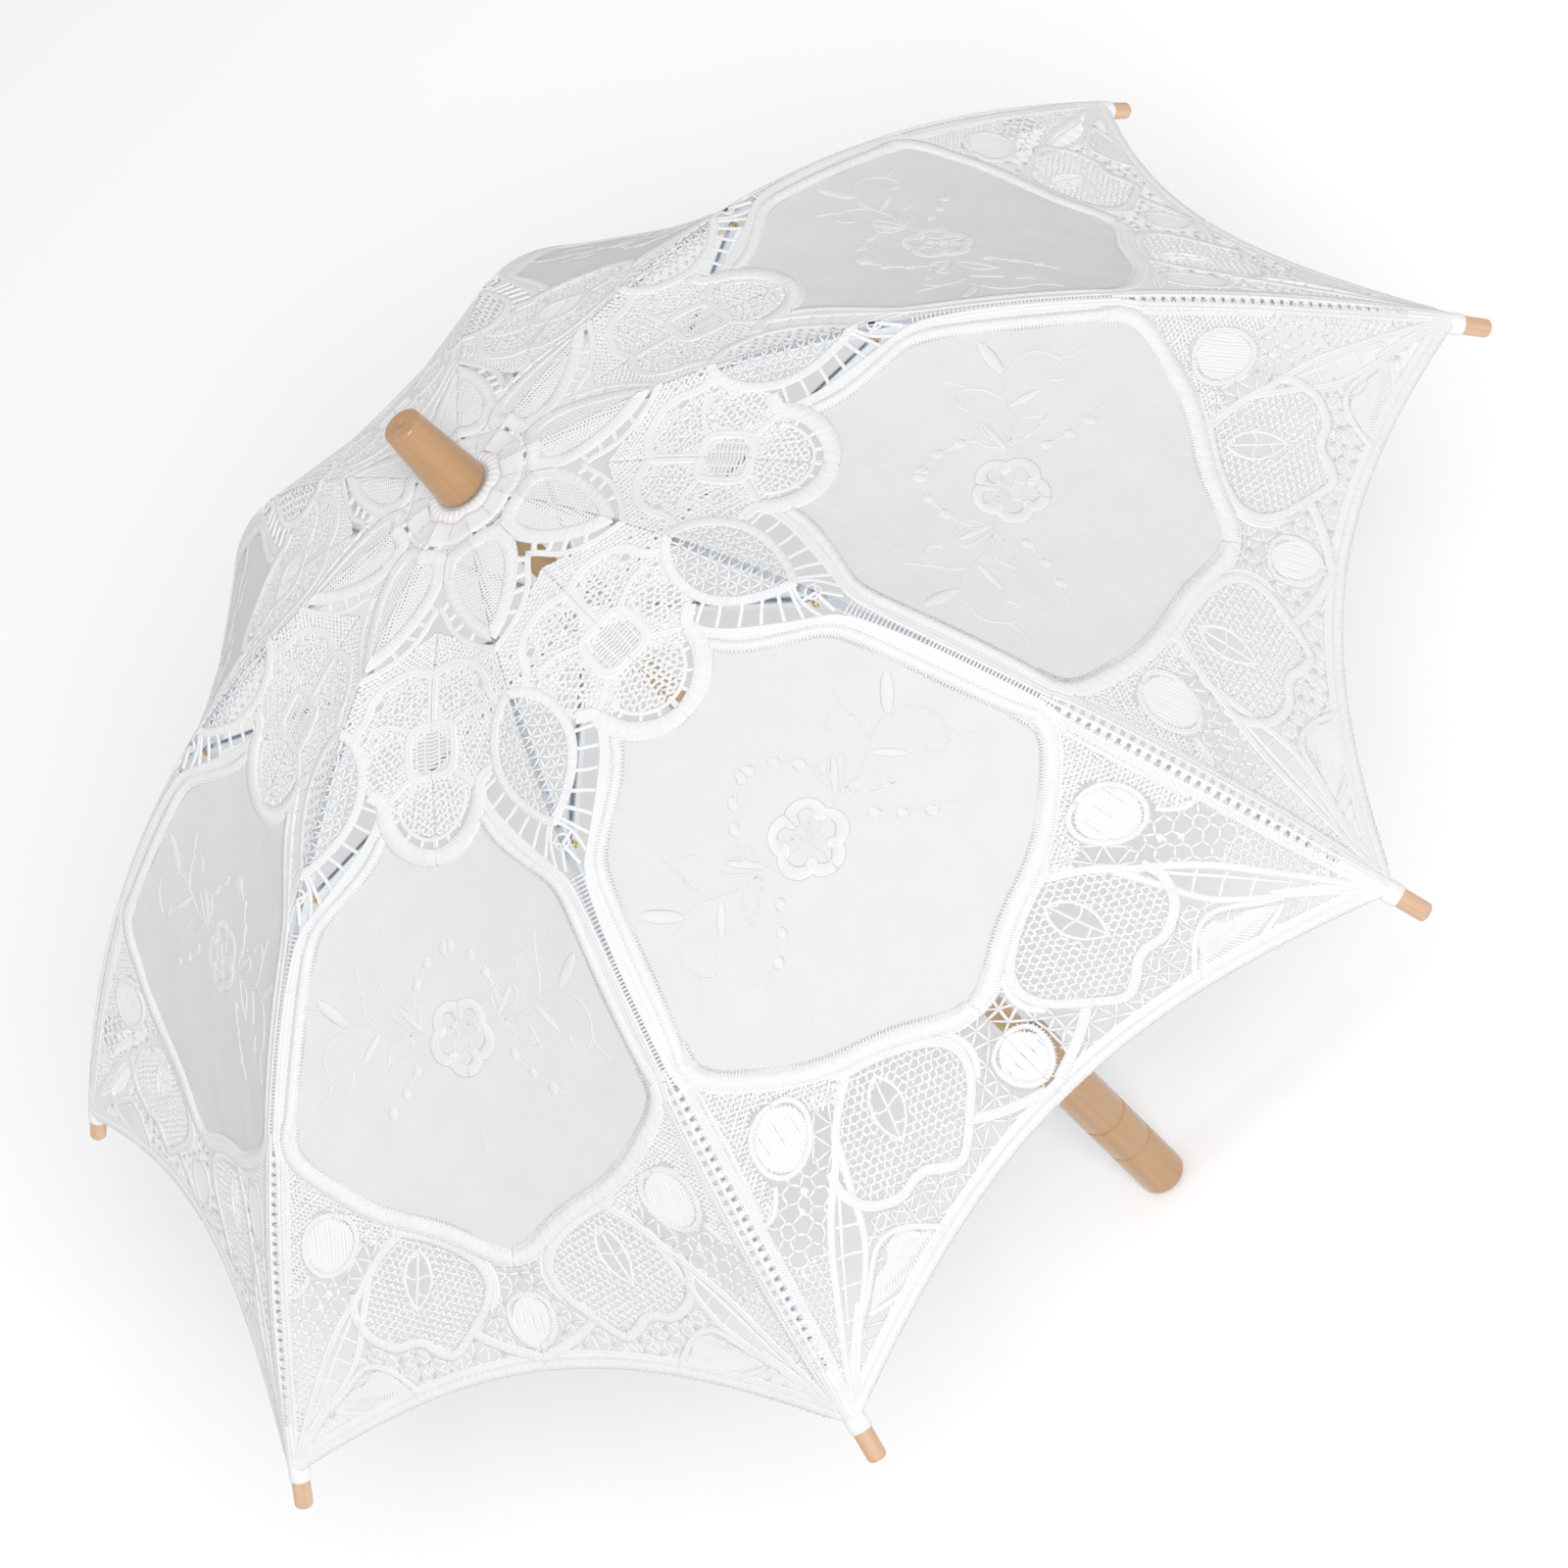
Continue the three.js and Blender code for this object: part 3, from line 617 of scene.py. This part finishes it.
for s, b, size in ((357.5, 26.5, 2.4), (363.5, 22, 1.6)):
    strip(lace, [(s - size / 2, b - size / 3), (s + size / 2, b + size / 3)], 3.2, 0.8, THREAD, 1.0)
net(lace, [(350, 17), (349, 27), (352, 38), (360, 37), (368, 31), (377, 25), (384, 23), (384, 6), (359, 6)],
    "hex", 6.6, 1.35, 0.65, shake=0.13, angle=0.4)
net(lace, [(380, 5), (380, 24), (386, 22), (396, 17.5), (408, 12.5), (420, 8), (432, 3.5), (420, 4)], "hex",
    3.1, 1.15, 0.6, shake=0.12, angle=0.1)

# half leaf by the hem, with its fan of threads
HALF_LEAF = [(409.5, 24), (403, 29.5), (397, 34.5), (391.8, 40), (390.2, 46), (392, 53), (396.5, 60),
             (403, 67), (408, 62), (410.6, 52),
             (411.4, 38)]
strip(tape, HALF_LEAF, 2.4, 1.0, closed=True)
for t in np.linspace(0, 1, 24):
    bow = 9 * (t - 0.48) ** 2
    strip(lace,
          [(409.5 - 2 * t, 27 + 36 * t), (401 - 1.5 * t, 34.5 + 27 * t), (391.8 + 3.4 * bow, 40 + 19 * t)],
          1.35, 0.85, THREAD, 2.0,
          wave=0.15)
comb(lace, [(403, 29.5), (391.8, 40), (390.4, 47), (394, 57), (402, 66)], 0, 3.6, 1.4, 0.8, 1.0, 0.4)
net(lace,
    [(409, 22), (412, 40), (410, 56), (406, 66), (412, 62), (418, 50), (424, 36), (430, 22), (430, 10),
     (420, 14), (412, 20)], "star",
    8.0, 1.15, 0.65, shake=0.13, angle=0.2)
net(lace,
    [(384, 40), (393, 37), (390, 46), (392, 54), (398, 63), (406, 70), (412, 78), (404, 92), (395, 96),
     (384, 84), (380, 70), (383, 60), (380, 50)], "star", 9.0, 1.2, 0.65, shake=0.13, angle=0.15)

# -------- border: the shell in the middle of the panel
SHELL_OUT = mid((331, 56), (333.5, 44), (337, 34), (342, 24.5), (347.5, 18.5), (354, 16.2), (361, 17.8),
                (368, 22.6), (374.5, 29.5),
                (380, 35.6), (384.6, 41), (386.5, 46), (384.2, 52), (380.6, 57), (380.2, 63), (382, 70),
                (380.6, 77), (376, 83.5), (367, 86.5), (358, 84))
strip(tape, SHELL_OUT, 4.2, 1.05)
comb(lace, SHELL_OUT, 0, 4.6, 1.25, 0.75, 1.1, 0.35)
strip(tape, mid((343, 19), (348, 14.8), (355, 12.7), (361.5, 14.2), (367, 18.5)), 3.4, 0.95)
LEAF_GAP = (*at(353, 50.5), 11.07, 6.6)
net(lace,
    mid((330, 58), (335, 42), (341, 28), (349, 19), (357, 18), (366, 23), (374, 31), (382, 42), (384.5, 47),
        (380, 55), (379, 65), (380, 74),
              (374, 82), (363, 83), (352, 76), (342, 68)), "hex", 3.4, 1.4, 0.55, [LEAF_GAP], 0.25, 0.14)
strip(lace, mid((339.5, 46), (345, 43.6), (352, 43.8), (359.5, 48.2), (366, 56)), 1.5, 0.85, THREAD, 1.2)
strip(lace, mid((339.5, 46), (343, 52), (349.5, 56.4), (357.5, 58), (366, 56)), 1.5, 0.85, THREAD, 1.2)
GAP_MIDDLE = at(352.5, 51)
bars(lace, [(at(341, 47), GAP_MIDDLE), (GAP_MIDDLE, at(365, 56)), (GAP_MIDDLE, at(351, 44)),
            (GAP_MIDDLE, at(350, 56.5)), (at(358.5, 53), at(360, 48.5))], 1.2)
CENTRE_BUD = mid((362.5, -1), (363.5, 5), (367, 9.8), (373, 11), (379, 9.4), (384, 5), (386, -1))
strip(tape, CENTRE_BUD, 2.2, 0.95)
for b in np.arange(0.6, 10.6, 1.4):
    reach = 10.6 * math.sqrt(max(0.05, 1 - (b / 11) ** 2))
    strip(lace, mid((374 - reach, b * 0.8), (374, b + 0.4 * math.sin(b * 3)), (374 + reach, b * 0.85)), 2.1,
          0.7, SATIN, 2.0, wave=0.12)
comb(lace, CENTRE_BUD, 0, 3.2, 1.5, 0.8, 0.95, 0.3)
strip(tape, mid((376, 33), (381, 25), (385.5, 15), (389, 4)), 4.2, 0.95)
comb(lace, mid((376, 33), (381, 25), (385.5, 15), (389, 4)), 0, 4.4, 1.4, 0.8, 1.0, 0.3)
net(lace,
    mid((348, -2), (348, 8), (346, 14), (354, 14.5), (362, 16), (370, 22), (376, 30), (383, 20), (385, 10),
        (380, 10), (373, 12), (366, 10),
              (362, 4), (362, -2)), "star", 7.6, 1.2, 0.65, shake=0.13, angle=0.3)
net(lace,
    mid((376, 32), (384, 40), (387, 47), (383, 55), (382, 64), (383, 74), (380, 84), (386, 92), (396, 96),
        (404, 86), (401, 70), (397, 56), (392, 38),
              (390, 20), (388, 6), (384, 14)), "star", 8.6, 1.2, 0.65, shake=0.13, angle=0.1)

# -------- hem and tip
strip(tape, hem_line(2.2), 4.8, 1.15, SATIN, 2.0)
comb(lace, hem_line(2.2, 0.06), 0, 4.4, 1.25, 0.75, 1.26, 0.35)
strip(tape, hem_line(6.2), 4.0, 0.9, TAPE, 2.0)
strip(tape, [(404, 24), (411, 18.5), (420, 12), (430, 6.5), (437, 3)], 3.0, 1.0)
net(lace, [(408, 3), (414, 14), (426, 10), (438, 4), (441, -1), (408, -1)], "hex", 2.2, 1.5, 0.6, shake=0.12)
strip(tape, [(418, 1.8), (430, 1.7), (439, 1.4)], 3.4, 1.2)

# -------- embroidery on the cotton
def flower_point(degrees):
    """A point on the flower's outline of five petals."""
    petals = abs(math.cos(2.5 * math.radians(degrees))) ** 0.55
    return around(9.6 + 5.0 * petals, degrees, 253)


strip(thread_work, mid(*[flower_point(d) for d in range(0, 181, 6)]), 5.0, 0.36, SATIN, 0.9)
for s, b in ((244, 5), (256.5, 8.6), (263, 0)):
    ring = [(x, max(0, m)) for x, m in oval(s, b, 4.4, 4.4, 12)]
    strip(thread_work, mid(*ring), 0.8, 0.35, THREAD, 0.9, True)
for degrees in (0, 28, 56, 84, 112, 140):
    stamen = [around(radius, degrees, 252) for radius in (1.2, 5.4)]
    strip(thread_work, mid(*stamen), 0.8, 0.4, THREAD, 0.9)
STEMS = [
    [(250, 17), (249, 33), (245.5, 42), (243, 50), (243.6, 56), (240, 62)],
    [(244, 44), (236, 46), (228, 44.6), (224.6, 40.5), (226.5, 36.2), (231, 35)],
    [(232, 45.8), (224, 46.5), (218.5, 47)],
    [(236, 62), (235, 70), (235, 79)],
    [(244.5, 56), (249, 64), (257, 69), (265, 68.4), (270, 64), (268.5, 58.5), (262.5, 56.6)],
    [(266, 68), (272, 71), (277, 76.5)],
    [(249, 24), (255, 27), (263, 39.5)],
    [(250, 22), (259, 31), (263, 39.5)],
    [(249, 22), (253, 35), (263, 39.5)],
    [(248, 21), (240, 24), (236.5, 29), (240, 33), (246, 27), (249, 22)],
    [(247, 20.5), (240, 19), (235.5, 22), (235, 26)],
    [(220, 10), (214, 1)], [(228, 17), (221, 12)], [(241, 22), (234, 20.5), (229, 18.4)],
    [(263, 24), (272, 32), (280, 41.5), (287, 51.5)],
]
for line in STEMS:
    strip(thread_work, mid(*line), 0.95, 0.4, THREAD, 1.0)
DOTS = [(215, 1.6, 3.0), (220.5, 11.4, 2.6), (229, 18, 2.7), (264.5, 25.5, 2.6), (273.5, 33, 2.5),
        (281.5, 41.8, 2.7)]
for s, b, size in DOTS:
    strip(thread_work, mid((s - size, b), (s, b), (s + size, b)), size * 1.8, 0.5, SATIN, 0.5, lens=0.5)
for a, b, width in (((247.5, 41), (259.5, 51), 3.8), ((243, 56), (232, 67.5), 5.2),
                    ((248, 20), (237, 29.5), 3.0)):
    strip(thread_work, mid(a, b), width, 0.45, SATIN, 0.8, lens=0.4)

# -------- the cotton panel
# Its outline is in (s, distance from the middle of the panel).
# The stretch beside the rib is given from the rib.
COTTON = [(178.5, -3), (177.3, 8), (173.6, 15.6), (169.4, 21), (167, 26)]
COTTON += [at(s, b) for s, b in (
    (174, 34.5), (180, 31), (187, 26), (193, 20.6), (200, 14.8), (206, 11.8), (215, 10.4),
    (240, 10.2), (265, 10), (282, 9.4), (292, 8.4))]
COTTON += [(303.5, 91.5), (312, 81), (319.5, 70), (324.5, 60), (328, 50), (331, 40), (334.2, 31),
           (338.5, 22.5), (343, 14.5), (346, 7.5), (347, -3)]
CELL, COTTON_THICK = 1.5, 0.38


def swell(s, m):
    """The slack in the cotton: how far it stands up or sinks, m from the middle of the panel."""
    broad = 0.3 * np.sin(s / 9 + m / 16) * np.sin(m / 13 - s / 31)
    small = 0.16 * np.sin(s / 4.3 - m / 6.1) * np.sin(m / 17 + 1)
    pulled = np.sin((s - 340) / 3.1 + 0.02 * m * m / 8)
    pulled = pulled * np.clip((s - 315) / 30, 0, 1) * np.clip(1 - m / 60, 0, 1)
    return broad + small + 0.2 * pulled


def cotton_mesh():
    """Flat top and bottom grids of the half panel inside the outline, with walls round them."""
    rows = np.arange(168, 350, CELL)
    cols = np.arange(0, 112, CELL)
    s, m = np.meshgrid(rows, cols, indexing="ij")
    cell_mid = np.stack([s[:-1, :-1].ravel() + CELL / 2, m[:-1, :-1].ravel() + CELL / 2], -1)
    used = inside(COTTON, cell_mid).reshape(len(rows) - 1, len(cols) - 1)
    index = np.arange(s.size).reshape(s.shape)
    quads = np.stack([index[:-1, :-1], index[:-1, 1:], index[1:, 1:], index[1:, :-1]], -1)[used]
    b = half(s) - m
    top = np.stack([s.ravel(), b.ravel(), (swell(s, m) - 0.02).ravel()], -1)
    under = top - [0, 0, COTTON_THICK]
    edges = {}
    for quad in quads.tolist():
        for edge in zip(quad, quad[1:] + quad[:1]):
            key = tuple(sorted(edge))
            edges[key] = None if key in edges else edge
    rim = [edge for edge in edges.values() if edge]
    live = np.unique(quads)
    remap = np.full(s.size, -1)
    remap[live] = np.arange(len(live))
    n = len(live)
    quads = remap[quads]
    rim = remap[np.array(rim)]
    top, under = top[live], under[live]
    wall_points = np.vstack([top[rim[:, 0]], top[rim[:, 1]], under[rim[:, 1]], under[rim[:, 0]]])
    r = len(rim)
    walls = np.arange(r)[:, None] + np.array([0, 3 * r, 2 * r, r]) + 2 * n
    points = np.vstack([top, under, wall_points])
    faces = np.vstack([quads, quads[:, ::-1] + n, walls]).tolist()
    return points, points[:, :2].copy(), faces


cotton = Work()
cotton.add(*cotton_mesh())
for points in thread_work.points:
    points[:, 2] += swell(points[:, 0], half(points[:, 0]) - points[:, 1])


# -------- materials
def mapped_wave(tree, uv, direction, pitch, distort=0.0):
    """Even ridges across a thread coordinate, pitch in millimetres."""
    wave = node(tree, "ShaderNodeTexWave", wave_type="BANDS", bands_direction=direction,
                Scale=1.0 / pitch / 3.18,
                Distortion=distort, Detail=1.0)
    tree.links.new(uv, wave.inputs["Vector"])
    return wave.outputs["Color"]


def cloth_material(name, colour, spread, pitches, strength, depth, sheen, rough, creases=0.0):
    """Cotton yarn: ridges along and across, creases, a fuzzy surface, and a slightly uneven white."""
    made, tree, shader = material(name)
    uv = node(tree, "ShaderNodeUVMap", uv_map="thread").outputs["UV"]
    place = node(tree, "ShaderNodeTexCoord").outputs["Object"]
    fuzz = node(tree, "ShaderNodeTexNoise", Scale=1800.0, Detail=3.0)
    tree.links.new(place, fuzz.inputs["Vector"])
    tone = node(tree, "ShaderNodeTexNoise", Scale=70.0, Detail=4.0)
    tree.links.new(place, tone.inputs["Vector"])
    crease = node(tree, "ShaderNodeTexNoise", Scale=260.0, Detail=2.0, Distortion=0.5)
    tree.links.new(place, crease.inputs["Vector"])
    mixed = node(tree, "ShaderNodeMath", operation="MULTIPLY_ADD")
    tree.links.new(crease.outputs["Fac"], mixed.inputs[0])
    mixed.inputs[1].default_value = creases
    tree.links.new(fuzz.outputs["Fac"], mixed.inputs[2])
    total = mixed.outputs[0]
    for direction, pitch in pitches:
        add = node(tree, "ShaderNodeMath", operation="ADD")
        tree.links.new(mapped_wave(tree, uv, direction, pitch, 0.6), add.inputs[0])
        tree.links.new(total, add.inputs[1])
        total = add.outputs[0]
    bump = node(tree, "ShaderNodeBump", Strength=strength, Distance=depth * MM)
    tree.links.new(total, bump.inputs["Height"])
    tree.links.new(bump.outputs["Normal"], shader.inputs["Normal"])
    ramp = node(tree, "ShaderNodeValToRGB")
    low = [c * (1 - spread) for c in colour]
    ramp.color_ramp.elements[0].position, ramp.color_ramp.elements[1].position = 0.3, 0.7
    ramp.color_ramp.elements[0].color = (*low, 1)
    ramp.color_ramp.elements[1].color = (*colour, 1)
    tree.links.new(tone.outputs["Fac"], ramp.inputs["Fac"])
    tree.links.new(ramp.outputs["Color"], shader.inputs["Base Color"])
    shader.inputs["Roughness"].default_value = rough
    shader.inputs["Specular IOR Level"].default_value = 0.25
    shader.inputs["Sheen Weight"].default_value = sheen
    shader.inputs["Sheen Roughness"].default_value = 0.5
    return made


COTTON_LOOK = cloth_material("cotton_lawn", (0.705, 0.705, 0.712), 0.02, (("X", 0.5), ("Y", 0.5)),
                             0.4, 0.14, 0.15, 0.95, creases=6.0)
TAPE_LOOK = cloth_material("braid_tape", (0.80, 0.80, 0.81), 0.04, (("X", 0.95), ("Y", 1.3)),
                           0.5, 0.2, 0.2, 0.9)
LACE_LOOK = cloth_material("lace_thread", (0.80, 0.80, 0.81), 0.03, (("X", 0.8),), 0.5, 0.2, 0.2, 0.9)
SATIN_LOOK = cloth_material("satin_stitch", (0.775, 0.775, 0.78), 0.02, (("X", 0.6),), 0.6, 0.22, 0.3, 0.6)


def wood_material(name, pale, dark, coat, rough, scale):
    """Straight-grained wood: long fibres, a few darker lines and fine pores."""
    made, tree, shader = material(name)
    place = node(tree, "ShaderNodeTexCoord").outputs["Object"]
    stretch = node(tree, "ShaderNodeMapping")
    stretch.inputs["Scale"].default_value = (1, 1, 0.07)
    tree.links.new(place, stretch.inputs["Vector"])
    grain = node(tree, "ShaderNodeTexNoise", Scale=scale, Detail=6.0, Roughness=0.6, Distortion=0.4)
    tree.links.new(stretch.outputs["Vector"], grain.inputs["Vector"])
    pores = node(tree, "ShaderNodeTexNoise", Scale=scale * 7, Detail=3.0)
    tree.links.new(stretch.outputs["Vector"], pores.inputs["Vector"])
    ramp = node(tree, "ShaderNodeValToRGB")
    ramp.color_ramp.elements[0].position, ramp.color_ramp.elements[1].position = 0.32, 0.62
    ramp.color_ramp.elements[0].color = (*dark, 1)
    ramp.color_ramp.elements[1].color = (*pale, 1)
    tree.links.new(grain.outputs["Fac"], ramp.inputs["Fac"])
    tree.links.new(ramp.outputs["Color"], shader.inputs["Base Color"])
    bump = node(tree, "ShaderNodeBump", Strength=0.25, Distance=0.1 * MM)
    tree.links.new(pores.outputs["Fac"], bump.inputs["Height"])
    tree.links.new(bump.outputs["Normal"], shader.inputs["Normal"])
    shader.inputs["Roughness"].default_value = rough
    shader.inputs["Coat Weight"].default_value = coat
    shader.inputs["Coat Roughness"].default_value = 0.12
    return made


VARNISHED = wood_material("varnished_wood", (0.50, 0.30, 0.155), (0.42, 0.235, 0.11), 0.5, 0.4, 90)
SHAFT_WOOD = wood_material("shaft_wood", (0.60, 0.40, 0.22), (0.50, 0.31, 0.15), 0.25, 0.5, 110)
PLAIN_WOOD = wood_material("plain_wood", (0.66, 0.44, 0.29), (0.56, 0.35, 0.21), 0.1, 0.55, 260)


def metal_material(name, colour, rough, scale):
    """Polished metal with fine scratches."""
    made, tree, shader = material(name)
    place = node(tree, "ShaderNodeTexCoord").outputs["Object"]
    scratch = node(tree, "ShaderNodeTexNoise", Scale=scale, Detail=5.0)
    tree.links.new(place, scratch.inputs["Vector"])
    spread = node(tree, "ShaderNodeMapRange", From_Min=0.3, From_Max=0.7, To_Min=rough * 0.7,
                  To_Max=rough * 1.4)
    tree.links.new(scratch.outputs["Fac"], spread.inputs["Value"])
    tree.links.new(spread.outputs["Result"], shader.inputs["Roughness"])
    bump = node(tree, "ShaderNodeBump", Strength=0.12, Distance=0.05 * MM)
    tree.links.new(scratch.outputs["Fac"], bump.inputs["Height"])
    tree.links.new(bump.outputs["Normal"], shader.inputs["Normal"])
    shader.inputs["Base Color"].default_value = (*colour, 1)
    shader.inputs["Metallic"].default_value = 1
    return made


STEEL = metal_material("steel", (0.78, 0.83, 0.88), 0.36, 900)
BRASS = metal_material("brass", (0.72, 0.50, 0.22), 0.3, 900)


def plastic_material():
    """White moulded plastic with a faint grain."""
    made, tree, shader = material("white_plastic")
    place = node(tree, "ShaderNodeTexCoord").outputs["Object"]
    grain = node(tree, "ShaderNodeTexNoise", Scale=1200.0, Detail=2.0)
    tree.links.new(place, grain.inputs["Vector"])
    bump = node(tree, "ShaderNodeBump", Strength=0.1, Distance=0.05 * MM)
    tree.links.new(grain.outputs["Fac"], bump.inputs["Height"])
    tree.links.new(bump.outputs["Normal"], shader.inputs["Normal"])
    shader.inputs["Base Color"].default_value = (0.86, 0.86, 0.84, 1)
    shader.inputs["Roughness"].default_value = 0.42
    return made


PLASTIC = plastic_material()
for name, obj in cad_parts.items():
    look = STEEL
    if name.startswith("rivet"):
        look = BRASS
    elif name in ("runner", "crown"):
        look = PLASTIC
    obj.data.materials.clear()
    obj.data.materials.append(look)


# -------- pieces
def add_mesh(name, points, faces, look, uv=None):
    """A smooth mesh with its material, and its thread coordinates if it is cloth."""
    mesh = bpy.data.meshes.new(name)
    mesh.from_pydata(points.tolist(), [], faces)
    mesh.update()
    if uv is not None:
        layer = mesh.uv_layers.new(name="thread")
        corner = np.zeros(len(mesh.loops), np.int32)
        mesh.loops.foreach_get("vertex_index", corner)
        layer.data.foreach_set("uv", uv[corner].astype(np.float32).ravel())
    mesh.shade_smooth()
    mesh.materials.append(look)
    return mesh


def shown(name, mesh, matrix=None):
    """A piece that shows the mesh, placed by the matrix."""
    obj = bpy.data.objects.new(name, mesh)
    bpy.context.scene.collection.objects.link(obj)
    if matrix is not None:
        obj.matrix_world = matrix
    return obj


def whole_gore(work, name, look):
    """Both halves beside a rib, in one mesh for rib 1."""
    flat = np.vstack(work.points)
    uv = np.vstack(work.threads)
    right_side = on_cloth(flat)
    left_side = right_side * [1, -1, 1]
    n = len(flat)
    faces = work.faces + [[i + n for i in reversed(f)] for f in work.faces]
    return add_mesh(name, np.vstack([right_side, left_side]), faces, look, np.vstack([uv, uv * [1, -1]]))


meshes = {
    "canopy_cotton": whole_gore(cotton, "canopy_cotton", COTTON_LOOK),
    "canopy_crown_tape": whole_gore(crown_tape, "canopy_crown_tape", TAPE_LOOK),
    "canopy_tape": whole_gore(tape, "canopy_tape", TAPE_LOOK),
    "canopy_crown_lace": whole_gore(crown_lace, "canopy_crown_lace", LACE_LOOK),
    "canopy_border_lace": whole_gore(lace, "canopy_border_lace", LACE_LOOK),
    "canopy_embroidery": whole_gore(thread_work, "canopy_embroidery", SATIN_LOOK),
}
for k in range(1, RIBS + 1):
    azimuth = 2 * SECTOR * (k - 1)
    spin = Matrix.Rotation(azimuth, 4, "Z")
    made = {}
    for name, mesh in meshes.items():
        piece = shown(f"{name}_{k}", mesh, spin)
        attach(piece, f"rib_{k}")
        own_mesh(piece)
        made[name] = piece
    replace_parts(made["canopy_cotton"], f"canopy_gore_{k}")


def lathe(name, profile, look, sides=96, matrix=None):
    """A turned piece from (radius, height) points in millimetres."""
    pts = np.array(profile, float)
    angles = np.linspace(0, 2 * math.pi, sides, endpoint=False)
    rings = [np.stack([r * np.cos(angles), r * np.sin(angles), np.full(sides, z)], -1) for r, z in pts]
    points = np.vstack(rings) * MM
    faces = []
    for i in range(len(pts) - 1):
        for j in range(sides):
            a, b = i * sides + j, i * sides + (j + 1) % sides
            faces.append((a, b, b + sides, a + sides))
    faces.append(list(range(sides))[::-1])
    faces.append([(len(pts) - 1) * sides + j for j in range(sides)])
    return shown(name, add_mesh(name, points, faces, look), matrix)


def rounded(r, z, radius, start, end, steps=6):
    """Points of an arc round (r, z)."""
    return [(r + radius * math.cos(t), z + radius * math.sin(t)) for t in np.linspace(start, end, steps)]


# -------- turned wood: handle, shaft and ferrule
HANDLE_RADIUS, HANDLE_LENGTH = 12.7, 150.0
FOOT_ROUND, TOP_ROUND = 4, 5
SHAFT_RADIUS, SHAFT_TOP = 6, 619.4
GROOVES = (40, 68)
HALF_GROOVE = ((1.5, 0), (1.1, 0.08), (0.7, 0.5))

profile = [(2, 0)] + rounded(HANDLE_RADIUS - FOOT_ROUND, FOOT_ROUND, FOOT_ROUND, -math.pi / 2, 0)
for z in GROOVES:
    profile += [(HANDLE_RADIUS - depth, z - away) for away, depth in HALF_GROOVE]
    profile += [(HANDLE_RADIUS - 0.85, z)]
    profile += [(HANDLE_RADIUS - depth, z + away) for away, depth in reversed(HALF_GROOVE)]
profile += rounded(HANDLE_RADIUS - TOP_ROUND, HANDLE_LENGTH - TOP_ROUND, TOP_ROUND, 0, math.pi / 2)
profile += [(5.9, HANDLE_LENGTH)]
handle = lathe("turned_handle", profile, VARNISHED)
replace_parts(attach(handle, "frame"), "handle")
shaft = lathe("turned_shaft", [(SHAFT_RADIUS, z) for z in (149, 300, 500, SHAFT_TOP)], SHAFT_WOOD, 64)
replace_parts(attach(shaft, "frame"), "shaft")
profile = [(5.9, 619.3), (11.2, 619.3), (11.8, 619.6), (12.05, 620.4), (11.3, 630.2), (10.1, 646)]
profile += rounded(7.2, 660.2, 1.7, 0.1, math.pi / 2, 6)
profile += [(4, 661.9), (1.5, 661.8), (1.1, 661.3), (0.5, 661.0)]
ferrule = lathe("turned_ferrule", profile, VARNISHED)
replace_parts(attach(ferrule, "frame"), "ferrule")


# -------- the cloth gathered under the ferrule
def gathered_cap():
    """A flat ring of cloth with small pleats in its raised part."""
    sides, pleats = 192, 32
    profile = [(6.4, 618.2), (9, 618.3), (12.4, 618.5), (13.1, 619.1), (14.3, 619.35), (15.9, 619.2),
               (17.4, 618.7), (18.3, 618.0), (21, 617.7), (23.6, 617.4),
               (23.6, 617.1), (18.2, 617.5), (12.4, 617.9), (6.4, 617.8)]
    angles = np.linspace(0, 2 * math.pi, sides, endpoint=False)
    rings = []
    for r, z in profile:
        pleat = 0.28 * np.sin(angles * pleats) * (1 if 12.5 < r < 18 and z > 618.4 else 0)
        out = r + pleat * 0.3
        rings.append(np.stack([out * np.cos(angles), out * np.sin(angles), z + pleat], -1))
    points = np.vstack(rings) * MM
    n = len(profile)
    faces = []
    for i in range(n):
        for j in range(sides):
            here, above, beside = i * sides, (i + 1) % n * sides, (j + 1) % sides
            faces.append((above + j, above + beside, here + beside, here + j))
    round_it = np.stack([angles * 15, np.zeros(sides)], -1)
    uv = np.tile(round_it, (n, 1)) + np.repeat(np.array(profile)[:, :1] * [[0, 1]], sides, 0)
    return add_mesh("canopy_cap", points, faces, TAPE_LOOK, uv)


cap = shown("canopy_cap", gathered_cap())
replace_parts(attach(cap, "frame"), "canopy_top_ring")

# -------- rib tips, and the cloth pockets on them
TIP_BELOW = 3.8
slope = math.atan(DROP * POWER / RADIUS)
tip_r = RADIUS - TIP_BELOW * math.sin(slope)
tip_z = TOP - DROP - TIP_BELOW * math.cos(slope)
TIP_PROFILE = [(0.5, 0.2), (3.5, 0.2), (4, 0.9), (4.05, 4), (4, 9)]
TIP_PROFILE += rounded(1.9, 14.5, 2.1, 0, math.pi / 2, 7) + [(0.4, 16.6)]
POCKET_PROFILE = [(2.6, -13), (3.3, -12.6), (3.9, -8), (4.5, -3), (4.8, 0), (4.7, 2.6), (4.45, 3.5),
                  (4.12, 3.7)]
for k in range(1, RIBS + 1):
    spin = Matrix.Rotation(2 * SECTOR * (k - 1), 4, "Z")
    lean = Matrix.Rotation(math.pi / 2 + slope, 4, "Y")
    place = spin @ Matrix.Translation((tip_r * MM, 0, tip_z * MM)) @ lean
    tip = lathe(f"turned_tip_{k}", TIP_PROFILE, PLAIN_WOOD, 40, place)
    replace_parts(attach(tip, f"rib_{k}"), f"rib_tip_{k}")
    pocket = lathe(f"tip_pocket_{k}", POCKET_PROFILE, TAPE_LOOK, 40, place)
    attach(pocket, f"rib_{k}")
